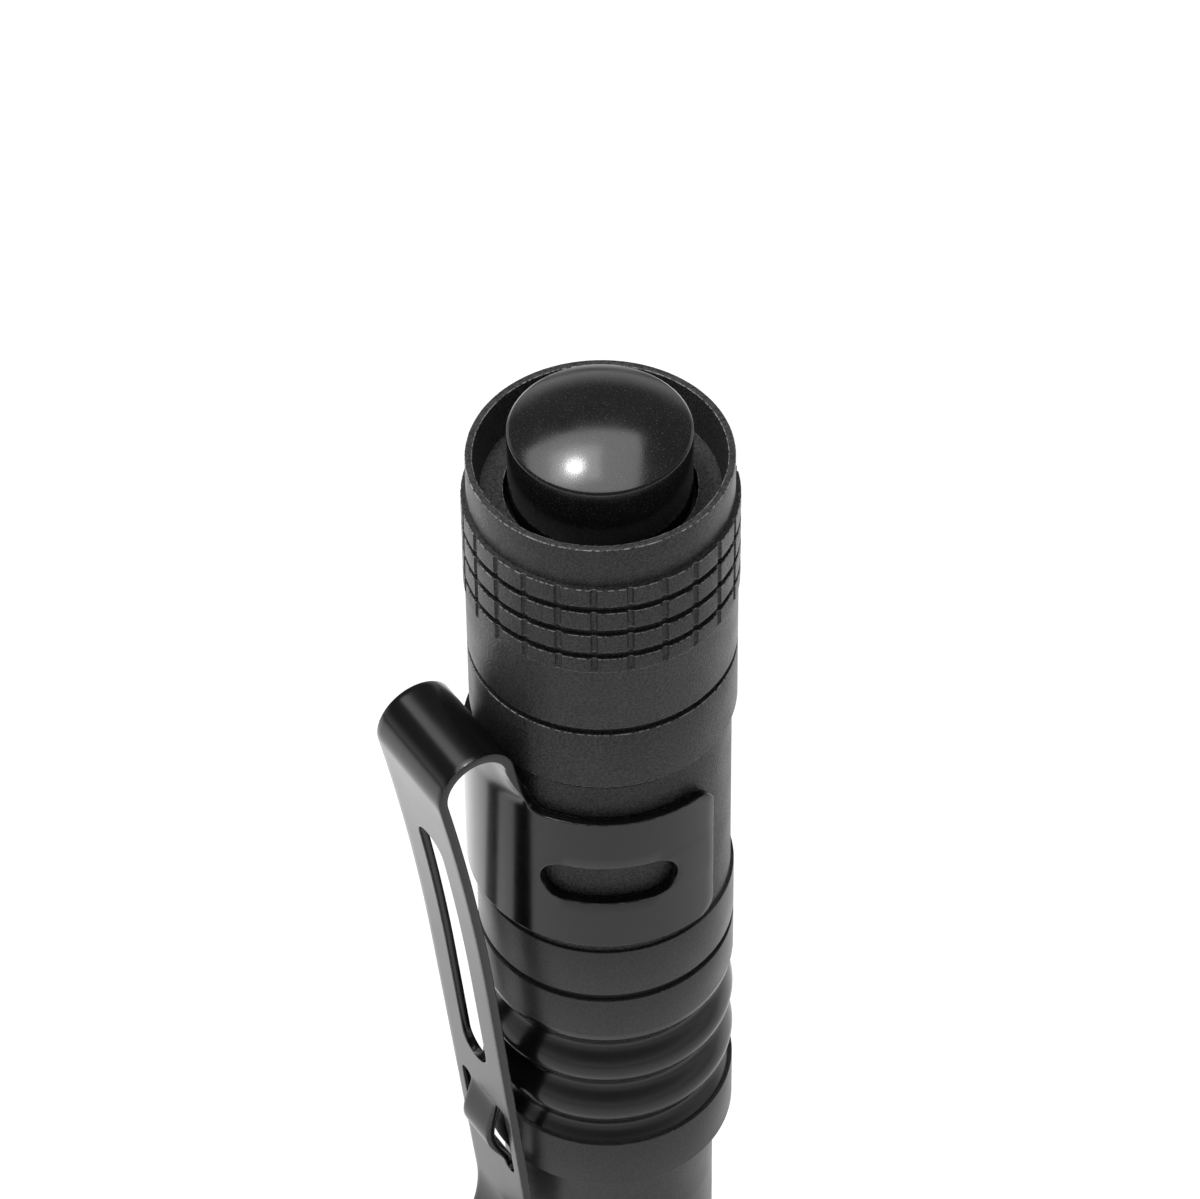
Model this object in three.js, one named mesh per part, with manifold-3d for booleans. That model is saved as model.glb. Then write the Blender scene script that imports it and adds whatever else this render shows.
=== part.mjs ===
// Slim pocket flashlight for one AAA cell, standing on its bezel with the tail switch up.
// Millimetres, +Z from the lens towards the tail; the origin is the centre of the lens's front face.
// The clip's arm lies on the -X side.

import * as THREE from 'three';
import { mergeVertices } from 'three/addons/utils/BufferGeometryUtils.js';
import Module from 'manifold-3d';

// Clearances
const SEAT_GAP = 0.12;
const SLIP = 0.15;
const THREAD_PLAY = 0.15;
const BUTTON_PLAY = 0.24;
const CLIP_PLAY = 0.2;
const NECK_GAP = 0.15;
const ARM_GAP = 0.15;

// Cell
const CELL_DIAMETER = 10.5;
const CELL_LENGTH = 44.5;
const CELL_EDGE = 0.6;
const NUB_DIAMETER = 3.8;
const NUB_HEIGHT = 0.9;

// Head and optics
const BEZEL_LIP = 0.9;
const BEZEL_FLARE = 0.25;
const BEZEL_CHAMFER = 0.6;
const HEAD_WALL = 0.94;
const HEAD_OVERLAP = 2.6;
const HEAD_EDGE = 0.5;
const FIN_GROOVES = 3;
const FIN_GROOVE_WIDTH = 0.6;
const FIN_GROOVE_DEPTH = 0.4;
const FIN_PITCH = 1.9;
const LENS_THICKNESS = 1.5;
const LENS_EDGE = 0.2;
const LENS_LAND = 0.9;
const LENS_SEAL_HEIGHT = 0.6;
const LENS_SEAL_WIDTH = 0.7;
const REFLECTOR_HEIGHT = 7.2;
const REFLECTOR_RIM = 0.8;
const REFLECTOR_FLANGE = 1.2;
const REFLECTOR_WALL = 0.8;
const REFLECTOR_THROAT = 2.65;
const CENTRING_HEIGHT = 0.8;
const CENTRING_WIDTH = 1.4;
const EMITTER_SIDE = 3.45;
const EMITTER_BASE = 0.7;
const EMITTER_DOME = 1.3;
const LED_BOARD_THICKNESS = 1.2;

// Heat-sink pill and driver
const PILL_FLOOR = 2;
const PILL_WALL = 0.9;
const DRIVER_CAVITY = 2.6;
const BOARD_THICKNESS = 1;
const INDUCTOR_SIDE = 3;
const INDUCTOR_HEIGHT = 1.8;
const CHIP_LENGTH = 2.9;
const CHIP_WIDTH = 1.6;
const CHIP_HEIGHT = 1.1;
const WIRE_DIAMETER = 0.9;
const WIRE_REACH = 4.2;
const BOARD_PART_REACH = 2;
const CONTACT_DIAMETER = 3;
const CONTACT_HEIGHT = 3.7;

// Barrel, from the tail shoulder down
const TUBE_WALL = 0.51;
const THREAD_WALL = 0.75;
const THREAD_CHAMFER = 0.3;
const SEAT_WALL = 1.4;
const SEAT_LENGTH = 12.94;
const RING_STEP = 0.19;
const RING_EDGE = 0.12;
const UPPER_RING = 3.51;
const RING_GROOVE_WIDTH = 0.5;
const RING_GROOVE_DEPTH = 0.3;
const LOWER_RING = 2.86;
const LOWER_RING_CHAMFER = 0.45;
const SCALLOP_LENGTH = 9;
const SCALLOP_PITCH = 3.4;
const SCALLOP_VALLEY = 1.25;
const SCALLOP_DEPTH = 0.75;
const FOOT_BAND = 3.8;
const FOOT_CHAMFER = 0.35;
const TAIL_SEAL_HEIGHT = 0.8;
const TAIL_SEAL_DEPTH = 0.35;
const TAIL_SEAL_LAND = 0.4;

// Tail cap
const CAP_LENGTH = 17.63;
const CAP_WALL = 0.79;
const CAP_CHAMFER = 0.25;
const CAP_GROOVE_DROP = 13.18;
const CAP_GROOVE_WIDTH = 0.45;
const CAP_GROOVE_DEPTH = 0.25;
const CAP_FLOOR = 1;
const RECESS_DEPTH = 2.3;
const RECESS_TAPER = 0.32;
const RIM_STEP = 0.19;
const RIM_WALL = 0.38;
const RIM_EDGE = 0.08;
const KNURL_PROUD = 0.09;
const KNURL_EDGE = 0.05;
const KNURL_COLUMNS = 24;
const KNURL_TURN = 2.1;
const KNURL_ROWS = 4;
const KNURL_TOP = 2.6;
const KNURL_PITCH = 1.67;
const KNURL_END = 8.6;
const KNURL_GROOVE_WIDTH = 0.45;
const KNURL_GROOVE_DEPTH = 0.3;
const KNURL_SLOT_WIDTH = 0.4;
const KNURL_SLOT_DEPTH = 0.2;

// Tail switch
const BUTTON_DIAMETER = 9.5;
const BUTTON_PROUD = 1.85;
const BUTTON_CROWN = 1.2;
const BUTTON_EDGE = 0.12;
const BUTTON_WALL = 0.9;
const BUTTON_ROOF = 1.6;
const BUTTON_TRAVEL = 1.5;
const FLANGE_THICKNESS = 0.9;
const FLANGE_REACH = 0.935;
const SWITCH_HEIGHT = 5.7;
const SWITCH_ROOF = 1;
const SWITCH_CHAMBER = 4.8;
const PLUNGER_DIAMETER = 3;
const PLUNGER_FOOT = 0.8;
const PLUNGER_FOOT_WIDTH = 0.6;
const RETURN_SPRING_WIRE = 0.3;
const RETURN_SPRING_TURNS = 4;
const RETAINER_HEIGHT = 1.4;
const RETAINER_WIDTH = 1.2;
const SPANNER_NOTCH = 1.2;
const TAIL_SPRING_LENGTH = 5.9;
const TAIL_SPRING_WIRE = 0.5;
const TAIL_SPRING_TURNS = 5;
const TAIL_SPRING_BASE = 8;
const TAIL_SPRING_TIP = 5;

// Pocket clip, one bent strip; its arm is measured from the end of the bend
const CLIP_THICKNESS = 0.5;
const CLIP_DROP = 2.3;
const CLIP_BAND_HEIGHT = 9.6;
const CLIP_BAND_CORNER = 1;
const CLIP_WRAP = 216;
const CLIP_WINDOW_START = 30.5;
const CLIP_WINDOW_END = 89;
const CLIP_WINDOW_HEIGHT = 2.8;
const CLIP_NECK_WIDTH = 6.25;
const CLIP_NECK_FILLET = 0.7;
const CLIP_NECK_EASE = 1;
const CLIP_NECK_RISE = 2.6;
const CLIP_BEND_RADIUS = 2.31;
const CLIP_ARM_LENGTH = 38.6;
const CLIP_ARM_BOW = 5.5;
const CLIP_BOW_LENGTH = 17;
const CLIP_TIP_WIDTH = 5.6;
const CLIP_TIP_CORNER = 1.6;
const CLIP_TIP_LENGTH = 6;
const CLIP_TIP_FLARE = 45;
const CLIP_SLOT_START = 5.1;
const CLIP_SLOT_LENGTH = 20.2;
const CLIP_SLOT_WIDTH = 2.4;
const CLIP_LOOP_START = 28.2;
const CLIP_LOOP_LENGTH = 5.9;
const CLIP_LOOP_RISE = 0.85;
const CLIP_LOOP_RAIL = 0.57;
const CLIP_LOOP_SLIT = 0.98;
const LOOP_SWELL = 1.5;

// Facets
const CAP_SIDES = 2 * KNURL_COLUMNS;
const BODY_SIDES = 40;
const INNER_SIDES = 24;
const PIN_SIDES = 16;
const CURL_STEPS = 8;
const WIRE_SIDES = 5;
const LEAD_SIDES = 8;
const LEAD_STEPS = 4;
const BEND_CHORD = 0.03;
const LEAN_ROUNDS = 4;
const BOWL_STEPS = 6;
const DOME_STEPS = 5;
const GRIP_STEPS = 18;
const BLANK_STEPS = 2;
const WELD = 1e-5;
const MEET = 1e-4;
const FAR = 1000;

// Radii, from the cell outwards
const cellRadius = CELL_DIAMETER / 2;
const boreRadius = cellRadius + SLIP;
const tubeRadius = boreRadius + TUBE_WALL;
const threadRadius = boreRadius + THREAD_WALL;
const seatRadius = boreRadius + SEAT_WALL;
const ringRadius = seatRadius + RING_STEP;
const capBore = threadRadius + THREAD_PLAY;
const capRadius = capBore + CAP_WALL;
const knurlRadius = capRadius + KNURL_PROUD;
const rimRadius = capRadius - RIM_STEP;
const buttonRadius = BUTTON_DIAMETER / 2;
const buttonHole = buttonRadius + BUTTON_PLAY;
const moduleRadius = buttonHole + FLANGE_REACH;
const moduleBore = moduleRadius + SLIP;
const headBore = tubeRadius + SLIP;
const headRadius = headBore + HEAD_WALL;
const opticRadius = headBore - SLIP;

// Heights, from the lens to the tail
const lensBack = LENS_THICKNESS;
const lensSealFront = lensBack + SEAT_GAP;
const reflectorFront = lensSealFront + LENS_SEAL_HEIGHT + SEAT_GAP;
const reflectorBack = reflectorFront + REFLECTOR_HEIGHT;
const centringFront = reflectorBack + SEAT_GAP;
const ledBoardFront = centringFront + CENTRING_HEIGHT + SEAT_GAP;
const ledBoardBack = ledBoardFront + LED_BOARD_THICKNESS;
const pillFront = ledBoardBack + SEAT_GAP;
const cavityFront = pillFront + PILL_FLOOR;
const pillBack = cavityFront + DRIVER_CAVITY;
const driverFront = pillBack + SEAT_GAP;
const driverBack = driverFront + BOARD_THICKNESS;
const barrelFront = driverBack + SEAT_GAP;
const contactFront = driverBack + SEAT_GAP;
const cellFront = contactFront + CONTACT_HEIGHT + SEAT_GAP;
const cellBack = cellFront + CELL_LENGTH;
const springFront = cellBack + SEAT_GAP;
const springBack = springFront + TAIL_SPRING_LENGTH;
const switchBoardFront = springBack + SEAT_GAP;
const switchBoardBack = switchBoardFront + BOARD_THICKNESS;
const retainerFront = switchBoardFront - SEAT_GAP - RETAINER_HEIGHT;
const barrelBack = retainerFront - SEAT_GAP;
const switchFront = switchBoardBack + SEAT_GAP;
const switchBack = switchFront + SWITCH_HEIGHT;
const flangeFront = switchBack + SEAT_GAP;
const floorFront = flangeFront + FLANGE_THICKNESS + SEAT_GAP;
const floorBack = floorFront + CAP_FLOOR;
const rim = floorBack + RECESS_DEPTH;
const capEnd = rim - CAP_LENGTH;
const shoulder = capEnd - SEAT_GAP;
const headBack = barrelFront + HEAD_OVERLAP;
const skirtFront = flangeFront + BUTTON_TRAVEL + SEAT_GAP;
const roofFront = rim + BUTTON_PROUD - BUTTON_ROOF;
const plungerBack = roofFront - SEAT_GAP;
const chamberBack = switchBack - SWITCH_ROOF;
const plungerFoot = chamberBack - SEAT_GAP - PLUNGER_FOOT;

const FINISHES = {
  anodised: { color: 0x1c1c1e, roughness: 0.42, metalness: 0.7 },
  springSteel: { color: 0x26272a, roughness: 0.25, metalness: 0.9 },
  rubber: { color: 0x0c0c0d, roughness: 0.35, metalness: 0 },
  blackPlastic: { color: 0x17171a, roughness: 0.5, metalness: 0 },
  brass: { color: 0xb5924a, roughness: 0.35, metalness: 1 },
  steel: { color: 0xb4b6ba, roughness: 0.3, metalness: 1 },
  board: { color: 0x1d4a2c, roughness: 0.55, metalness: 0 },
  whitePlastic: { color: 0xe6e4de, roughness: 0.5, metalness: 0 },
  mirror: { color: 0xd8dade, roughness: 0.08, metalness: 1 },
  glass: { color: 0xdfe8ea, roughness: 0.03, metalness: 0, transparent: true, opacity: 0.35 },
  phosphor: { color: 0xe9d36b, roughness: 0.4, metalness: 0 },
  cellSleeve: { color: 0x8f979f, roughness: 0.35, metalness: 0.6 },
  redWire: { color: 0xa3201c, roughness: 0.5, metalness: 0 },
  blackWire: { color: 0x151515, roughness: 0.5, metalness: 0 },
};

const wasm = await Module();
wasm.setup();

const radians = THREE.MathUtils.degToRad;

// Shared vertices, no triangles flattened at the axis, faces pointing out.
function welded(geometry) {
  const bare = geometry.index ? geometry.toNonIndexed() : geometry.clone();
  bare.deleteAttribute('normal');
  bare.deleteAttribute('uv');
  const merged = mergeVertices(bare, WELD);
  const corners = merged.index.array;
  const position = merged.attributes.position;
  const [a, b, c] = [new THREE.Vector3(), new THREE.Vector3(), new THREE.Vector3()];
  const kept = [];
  let volume = 0;
  for (let i = 0; i < corners.length; i += 3) {
    const [p, q, r] = corners.slice(i, i + 3);
    if (p === q || q === r || r === p) continue;
    kept.push(p, q, r);
    a.fromBufferAttribute(position, p);
    b.fromBufferAttribute(position, q);
    c.fromBufferAttribute(position, r);
    volume += a.dot(b.cross(c));
  }
  merged.setIndex(volume < 0 ? kept.reverse() : kept);
  return merged;
}

function toSolid(geometry) {
  const shape = welded(geometry);
  const mesh = new wasm.Mesh({
    numProp: 3,
    vertProperties: new Float32Array(shape.attributes.position.array),
    triVerts: new Uint32Array(shape.index.array),
  });
  return new wasm.Manifold(mesh);
}

function fromSolid(solid) {
  const mesh = solid.getMesh();
  const geometry = new THREE.BufferGeometry();
  geometry.setAttribute('position', new THREE.BufferAttribute(mesh.vertProperties, 3));
  geometry.setIndex(new THREE.BufferAttribute(mesh.triVerts, 1));
  return geometry;
}

function cut(geometry, cutters) {
  const rest = cutters.reduce((solid, cutter) => solid.subtract(toSolid(cutter)), toSolid(geometry));
  return fromSolid(rest);
}

function joined(geometry, other) {
  return fromSolid(toSolid(geometry).add(toSolid(other)));
}

// A turned piece: the profile runs in (radius, height) pairs.
function turned(profile, sides) {
  const points = profile.map(([radius, height]) => new THREE.Vector2(radius, height));
  return new THREE.LatheGeometry(points, sides).rotateX(Math.PI / 2);
}

function turnedRing(profile, sides) {
  return turned([...profile, profile[0]], sides);
}

function plainRing(inner, outer, front, back, sides = INNER_SIDES) {
  return turnedRing([[inner, front], [outer, front], [outer, back], [inner, back]], sides);
}

function disc(radius, front, back, sides = INNER_SIDES) {
  return turned([[0, front], [radius, front], [radius, back], [0, back]], sides);
}

function block(sizes, centre) {
  return new THREE.BoxGeometry(...sizes).translate(...centre);
}

// A seal ring squeezed between two walls: a flat ring with its corners taken off.
function sealRing(inner, outer, front, height) {
  const corner = Math.min(outer - inner, height) / 4;
  const back = front + height;
  return turnedRing([
    [inner, front + corner], [inner + corner, front], [outer - corner, front], [outer, front + corner],
    [outer, back - corner], [outer - corner, back], [inner + corner, back], [inner, back - corner],
  ], INNER_SIDES);
}

function wireAlong(path, diameter, sides, steps) {
  const rim = Array.from({ length: sides }, (_, i) => {
    const angle = (2 * Math.PI * i) / sides;
    return new THREE.Vector2(Math.cos(angle), Math.sin(angle)).multiplyScalar(diameter / 2);
  });
  return new THREE.ExtrudeGeometry(new THREE.Shape(rim), { steps, bevelEnabled: false, extrudePath: path });
}

class Helix extends THREE.Curve {
  constructor(startRadius, endRadius, startHeight, endHeight, turns) {
    super();
    Object.assign(this, { startRadius, endRadius, startHeight, endHeight, turns });
  }

  getPoint(t, target = new THREE.Vector3()) {
    const angle = 2 * Math.PI * this.turns * t;
    const radius = THREE.MathUtils.lerp(this.startRadius, this.endRadius, t);
    const height = THREE.MathUtils.lerp(this.startHeight, this.endHeight, t);
    return target.set(radius * Math.cos(angle), radius * Math.sin(angle), height);
  }
}

// One unbroken coil of wire between two heights; prints the least gap between its turns.
function coil(name, wire, startDiameter, endDiameter, front, back, turns) {
  const path = new Helix(
    (startDiameter - wire) / 2, (endDiameter - wire) / 2, front + wire / 2, back - wire / 2, turns,
  );
  const steps = CURL_STEPS * turns;
  const points = path.getPoints(steps);
  let least = Infinity;
  points.forEach((point, i) => {
    for (const other of points.slice(i + CURL_STEPS / 2)) least = Math.min(least, point.distanceTo(other));
  });
  console.log(`${name}: least gap between turns ${(least - wire).toFixed(2)} mm`);
  return wireAlong(path, wire, WIRE_SIDES, steps);
}

function group(name, pieces) {
  const result = new THREE.Group();
  result.name = name;
  for (const [node, geometry, finish] of pieces) {
    const mesh = new THREE.Mesh(welded(geometry), new THREE.MeshStandardMaterial(FINISHES[finish]));
    mesh.name = node;
    result.add(mesh);
  }
  return result;
}

// Head: the bezel lip holds the lens, and everything behind it stacks up to the barrel's end.
function headHousing() {
  const lipRadius = opticRadius - LENS_LAND;
  const finMiddle = (pillFront + pillBack) / 2;
  const finStart = finMiddle - ((FIN_GROOVES - 1) * FIN_PITCH + FIN_GROOVE_WIDTH) / 2;
  const outside = [
    [headRadius - BEZEL_CHAMFER, -BEZEL_LIP],
    [headRadius, BEZEL_CHAMFER - BEZEL_LIP],
  ];
  for (let i = 0; i < FIN_GROOVES; i += 1) {
    const front = finStart + i * FIN_PITCH;
    const back = front + FIN_GROOVE_WIDTH;
    const floor = headRadius - FIN_GROOVE_DEPTH;
    outside.push([headRadius, front], [floor, front], [floor, back], [headRadius, back]);
  }
  return turnedRing([
    [headBore, headBack],
    [headBore, -SEAT_GAP],
    [lipRadius, -SEAT_GAP],
    [lipRadius + BEZEL_FLARE, -BEZEL_LIP],
    ...outside,
    [headRadius, headBack - HEAD_EDGE],
    [headRadius - HEAD_EDGE, headBack],
  ], BODY_SIDES);
}

// The front face is flat inside the bezel's opening and bevelled under its lip.
function lens() {
  const faceRadius = opticRadius - LENS_LAND - SLIP;
  return turned([
    [0, 0],
    [faceRadius, 0],
    [opticRadius, LENS_EDGE],
    [opticRadius, lensBack - LENS_EDGE],
    [opticRadius - LENS_EDGE, lensBack],
    [0, lensBack],
  ], INNER_SIDES);
}

// A paraboloid bowl from the throat round the emitter to the mouth behind the lens.
function reflector() {
  const mouth = opticRadius - REFLECTOR_RIM;
  const bowl = [];
  const bowlWall = [];
  for (let i = 0; i <= BOWL_STEPS; i += 1) {
    const share = i / BOWL_STEPS;
    const radius = THREE.MathUtils.lerp(mouth, REFLECTOR_THROAT, share);
    const depth = (mouth ** 2 - radius ** 2) / (mouth ** 2 - REFLECTOR_THROAT ** 2);
    bowl.push([radius, reflectorFront + depth * REFLECTOR_HEIGHT]);
  }
  const flangeBack = reflectorFront + REFLECTOR_FLANGE;
  for (const [radius, height] of bowl.slice(0, -1).reverse()) {
    const outer = radius + REFLECTOR_WALL;
    if (height > flangeBack && outer < opticRadius) bowlWall.push([outer, height]);
  }
  return turnedRing([
    ...bowl,
    [REFLECTOR_THROAT + REFLECTOR_WALL, reflectorBack],
    ...bowlWall,
    [bowlWall.at(-1)?.[0] ?? mouth, flangeBack],
    [opticRadius, flangeBack],
    [opticRadius, reflectorFront],
  ], INNER_SIDES);
}

function emitter() {
  const back = ledBoardFront - SEAT_GAP;
  const front = back - EMITTER_BASE;
  const root = (front + back) / 2;
  const dome = [[0, root], [EMITTER_DOME, root]];
  for (let i = 0; i < DOME_STEPS; i += 1) {
    const angle = (i / DOME_STEPS) * (Math.PI / 2);
    dome.push([EMITTER_DOME * Math.cos(angle), front - EMITTER_DOME * Math.sin(angle)]);
  }
  dome.push([0, front - EMITTER_DOME]);
  const base = block([EMITTER_SIDE, EMITTER_SIDE, EMITTER_BASE], [0, 0, root]);
  return joined(base, turned(dome, PIN_SIDES));
}

function wireHole(side, front, back) {
  const bore = disc(WIRE_DIAMETER / 2 + SLIP, front - SEAT_GAP, back + SEAT_GAP, PIN_SIDES);
  return bore.translate(side * WIRE_REACH, 0, 0);
}

function ledBoard() {
  const board = disc(opticRadius, ledBoardFront, ledBoardBack);
  return cut(board, [-1, 1].map((side) => wireHole(side, ledBoardFront, ledBoardBack)));
}

function pill() {
  const inner = opticRadius - PILL_WALL;
  const cup = turned([
    [0, pillFront], [opticRadius, pillFront], [opticRadius, pillBack],
    [inner, pillBack], [inner, cavityFront], [0, cavityFront],
  ], INNER_SIDES);
  return cut(cup, [-1, 1].map((side) => wireHole(side, pillFront, cavityFront)));
}

// From the driver board through the pill and the emitter's board, bent over towards the emitter.
function leadWire(side) {
  const path = new THREE.CatmullRomCurve3([
    new THREE.Vector3(side * WIRE_REACH, 0, driverFront - SEAT_GAP),
    new THREE.Vector3(side * WIRE_REACH, 0, cavityFront),
    new THREE.Vector3(side * WIRE_REACH, 0, pillFront),
    new THREE.Vector3(side * WIRE_REACH, 0, ledBoardFront),
  ]);
  return wireAlong(path, WIRE_DIAMETER, LEAD_SIDES, LEAD_STEPS);
}

function cell() {
  const nub = NUB_DIAMETER / 2;
  const canFront = cellFront + NUB_HEIGHT;
  return turned([
    [0, cellFront], [nub, cellFront], [nub, canFront], [cellRadius - CELL_EDGE, canFront],
    [cellRadius, canFront + CELL_EDGE], [cellRadius, cellBack - CELL_EDGE],
    [cellRadius - CELL_EDGE, cellBack], [0, cellBack],
  ], INNER_SIDES);
}

const upperTop = shoulder - SEAT_LENGTH;
const upperEnd = upperTop - UPPER_RING;
const lowerTop = upperEnd - RING_GROOVE_WIDTH;
const lowerEnd = lowerTop - LOWER_RING;
const scallopTop = lowerEnd - LOWER_RING_CHAMFER;
const footTop = scallopTop - SCALLOP_LENGTH;
const footEnd = footTop - FOOT_BAND;

// Rounded valleys and ridges between the lower ring and the foot band, listed from the tail down.
function scallops() {
  return Array.from({ length: GRIP_STEPS + 1 }, (_, i) => {
    const drop = (SCALLOP_LENGTH * i) / GRIP_STEPS;
    const swing = Math.cos((2 * Math.PI * (drop - SCALLOP_VALLEY)) / SCALLOP_PITCH);
    return [ringRadius - (SCALLOP_DEPTH * (1 + swing)) / 2, scallopTop - drop];
  });
}

function barrel() {
  const sealTop = shoulder + TAIL_SEAL_LAND + TAIL_SEAL_HEIGHT;
  const sealFloor = threadRadius - TAIL_SEAL_DEPTH;
  const grooveFloor = ringRadius - RING_GROOVE_DEPTH;
  return turnedRing([
    [boreRadius, barrelBack],
    [threadRadius - THREAD_CHAMFER, barrelBack],
    [threadRadius, barrelBack - THREAD_CHAMFER],
    [threadRadius, sealTop],
    [sealFloor, sealTop],
    [sealFloor, shoulder + TAIL_SEAL_LAND],
    [threadRadius, shoulder + TAIL_SEAL_LAND],
    [threadRadius, shoulder],
    [seatRadius, shoulder],
    [seatRadius, upperTop],
    [ringRadius - RING_EDGE, upperTop],
    [ringRadius, upperTop - RING_EDGE],
    [ringRadius, upperEnd],
    [grooveFloor, upperEnd],
    [grooveFloor, lowerTop],
    [ringRadius, lowerTop],
    [ringRadius, lowerEnd],
    ...scallops(),
    [ringRadius, footTop],
    [ringRadius, footEnd + FOOT_CHAMFER],
    [ringRadius - FOOT_CHAMFER, footEnd],
    [tubeRadius, footEnd],
    [tubeRadius, barrelFront],
    [boreRadius, barrelFront],
  ], BODY_SIDES);
}

function tailSeal() {
  const inner = threadRadius - TAIL_SEAL_DEPTH + SEAT_GAP / 2;
  const outer = capBore - SEAT_GAP / 2;
  const front = shoulder + TAIL_SEAL_LAND + SEAT_GAP / 2;
  return sealRing(inner, outer, front, TAIL_SEAL_HEIGHT - SEAT_GAP);
}

// Tail cap: rows of pads cut by ring grooves and by slots along the cap.
function tailCap() {
  const knurlFloor = knurlRadius - KNURL_GROOVE_DEPTH;
  const rimInner = rimRadius - RIM_WALL;
  const grooveTop = rim - CAP_GROOVE_DROP + CAP_GROOVE_WIDTH / 2;
  const grooveEnd = grooveTop - CAP_GROOVE_WIDTH;
  const grooveFloor = capRadius - CAP_GROOVE_DEPTH;
  const outside = [
    [capRadius - CAP_CHAMFER, capEnd],
    [capRadius, capEnd + CAP_CHAMFER],
    [capRadius, grooveEnd],
    [grooveFloor, grooveEnd],
    [grooveFloor, grooveTop],
    [capRadius, grooveTop],
    [capRadius, rim - KNURL_END - KNURL_EDGE],
    [knurlRadius, rim - KNURL_END],
  ];
  for (let row = KNURL_ROWS - 1; row > 0; row -= 1) {
    const low = rim - KNURL_TOP - row * KNURL_PITCH;
    const high = low + KNURL_GROOVE_WIDTH;
    outside.push([knurlRadius, low], [knurlFloor, low], [knurlFloor, high], [knurlRadius, high]);
  }
  const firstTop = rim - KNURL_TOP;
  const shell = turnedRing([
    [capBore, capEnd],
    ...outside,
    [knurlRadius, firstTop],
    [knurlFloor, firstTop],
    [knurlFloor, firstTop + KNURL_GROOVE_WIDTH],
    [rimRadius, firstTop + KNURL_GROOVE_WIDTH],
    [rimRadius, rim - RIM_EDGE],
    [rimRadius - RIM_EDGE, rim],
    [rimInner, rim],
    [rimInner - RECESS_TAPER, floorBack],
    [buttonHole, floorBack],
    [buttonHole, floorFront],
    [moduleBore, floorFront],
    [moduleBore, retainerFront - SEAT_GAP],
    [capBore, retainerFront - SEAT_GAP - THREAD_PLAY],
  ], CAP_SIDES);
  const slotLength = KNURL_END - KNURL_TOP;
  const slotBox = [2 * KNURL_SLOT_DEPTH, KNURL_SLOT_WIDTH, slotLength];
  const slots = [];
  for (let i = 0; i < KNURL_COLUMNS; i += 1) {
    const slot = block(slotBox, [-knurlRadius, 0, firstTop - slotLength / 2]);
    slots.push(slot.rotateZ(radians(KNURL_TURN + ((i + 0.5) / KNURL_COLUMNS) * 360)));
  }
  return cut(shell, slots);
}

// The button's hollow dome and skirt.
function button() {
  const edge = rim + BUTTON_PROUD;
  const inner = buttonRadius - BUTTON_WALL;
  const domeSpan = buttonRadius - BUTTON_EDGE;
  const domeRadius = (domeSpan ** 2 + BUTTON_CROWN ** 2) / (2 * BUTTON_CROWN);
  const reach = Math.asin(domeSpan / domeRadius);
  const dome = [];
  for (let i = 0; i <= DOME_STEPS; i += 1) {
    const angle = reach * (1 - i / DOME_STEPS);
    dome.push([domeRadius * Math.sin(angle), edge + BUTTON_CROWN - domeRadius * (1 - Math.cos(angle))]);
  }
  return turned([
    [0, roofFront], [inner, roofFront], [inner, skirtFront], [buttonRadius, skirtFront],
    [buttonRadius, edge - BUTTON_EDGE], ...dome,
  ], INNER_SIDES);
}

function switchHousing() {
  const chamber = SWITCH_CHAMBER / 2;
  const stemHole = PLUNGER_DIAMETER / 2 + SLIP;
  return turnedRing([
    [chamber, switchFront], [moduleRadius, switchFront], [moduleRadius, switchBack],
    [stemHole, switchBack], [stemHole, chamberBack], [chamber, chamberBack],
  ], INNER_SIDES);
}

function plunger() {
  const stem = PLUNGER_DIAMETER / 2;
  const foot = stem + PLUNGER_FOOT_WIDTH;
  return turned([
    [0, plungerFoot], [foot, plungerFoot], [foot, plungerFoot + PLUNGER_FOOT],
    [stem, plungerFoot + PLUNGER_FOOT], [stem, plungerBack], [0, plungerBack],
  ], PIN_SIDES);
}

function returnSpring() {
  const wide = PLUNGER_DIAMETER + 2 * PLUNGER_FOOT_WIDTH - SLIP;
  const front = switchFront;
  const back = plungerFoot - SEAT_GAP;
  return coil('switch_return_spring', RETURN_SPRING_WIRE, wide, wide, front, back, RETURN_SPRING_TURNS);
}

// A ring with two notches for a pin spanner.
function retainer() {
  const inner = moduleRadius - RETAINER_WIDTH;
  const ring = plainRing(inner, moduleRadius, retainerFront, retainerFront + RETAINER_HEIGHT);
  const notchBox = [2 * moduleBore, SPANNER_NOTCH, RETAINER_HEIGHT];
  return cut(ring, [block(notchBox, [0, 0, retainerFront])]);
}

function tailSpring() {
  return coil(
    'tail_contact_spring', TAIL_SPRING_WIRE, TAIL_SPRING_TIP, TAIL_SPRING_BASE,
    springFront, springBack, TAIL_SPRING_TURNS,
  );
}

// Pocket clip: a flat blank, refined where it bends, then bent along the strip and round the seat.
const bandRadius = seatRadius + CLIP_PLAY;
const neckRun = CLIP_NECK_EASE + CLIP_NECK_RISE;
const neckLean = Math.atan((capRadius + NECK_GAP - bandRadius) / (CLIP_DROP - CLIP_NECK_EASE / 2));

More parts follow.
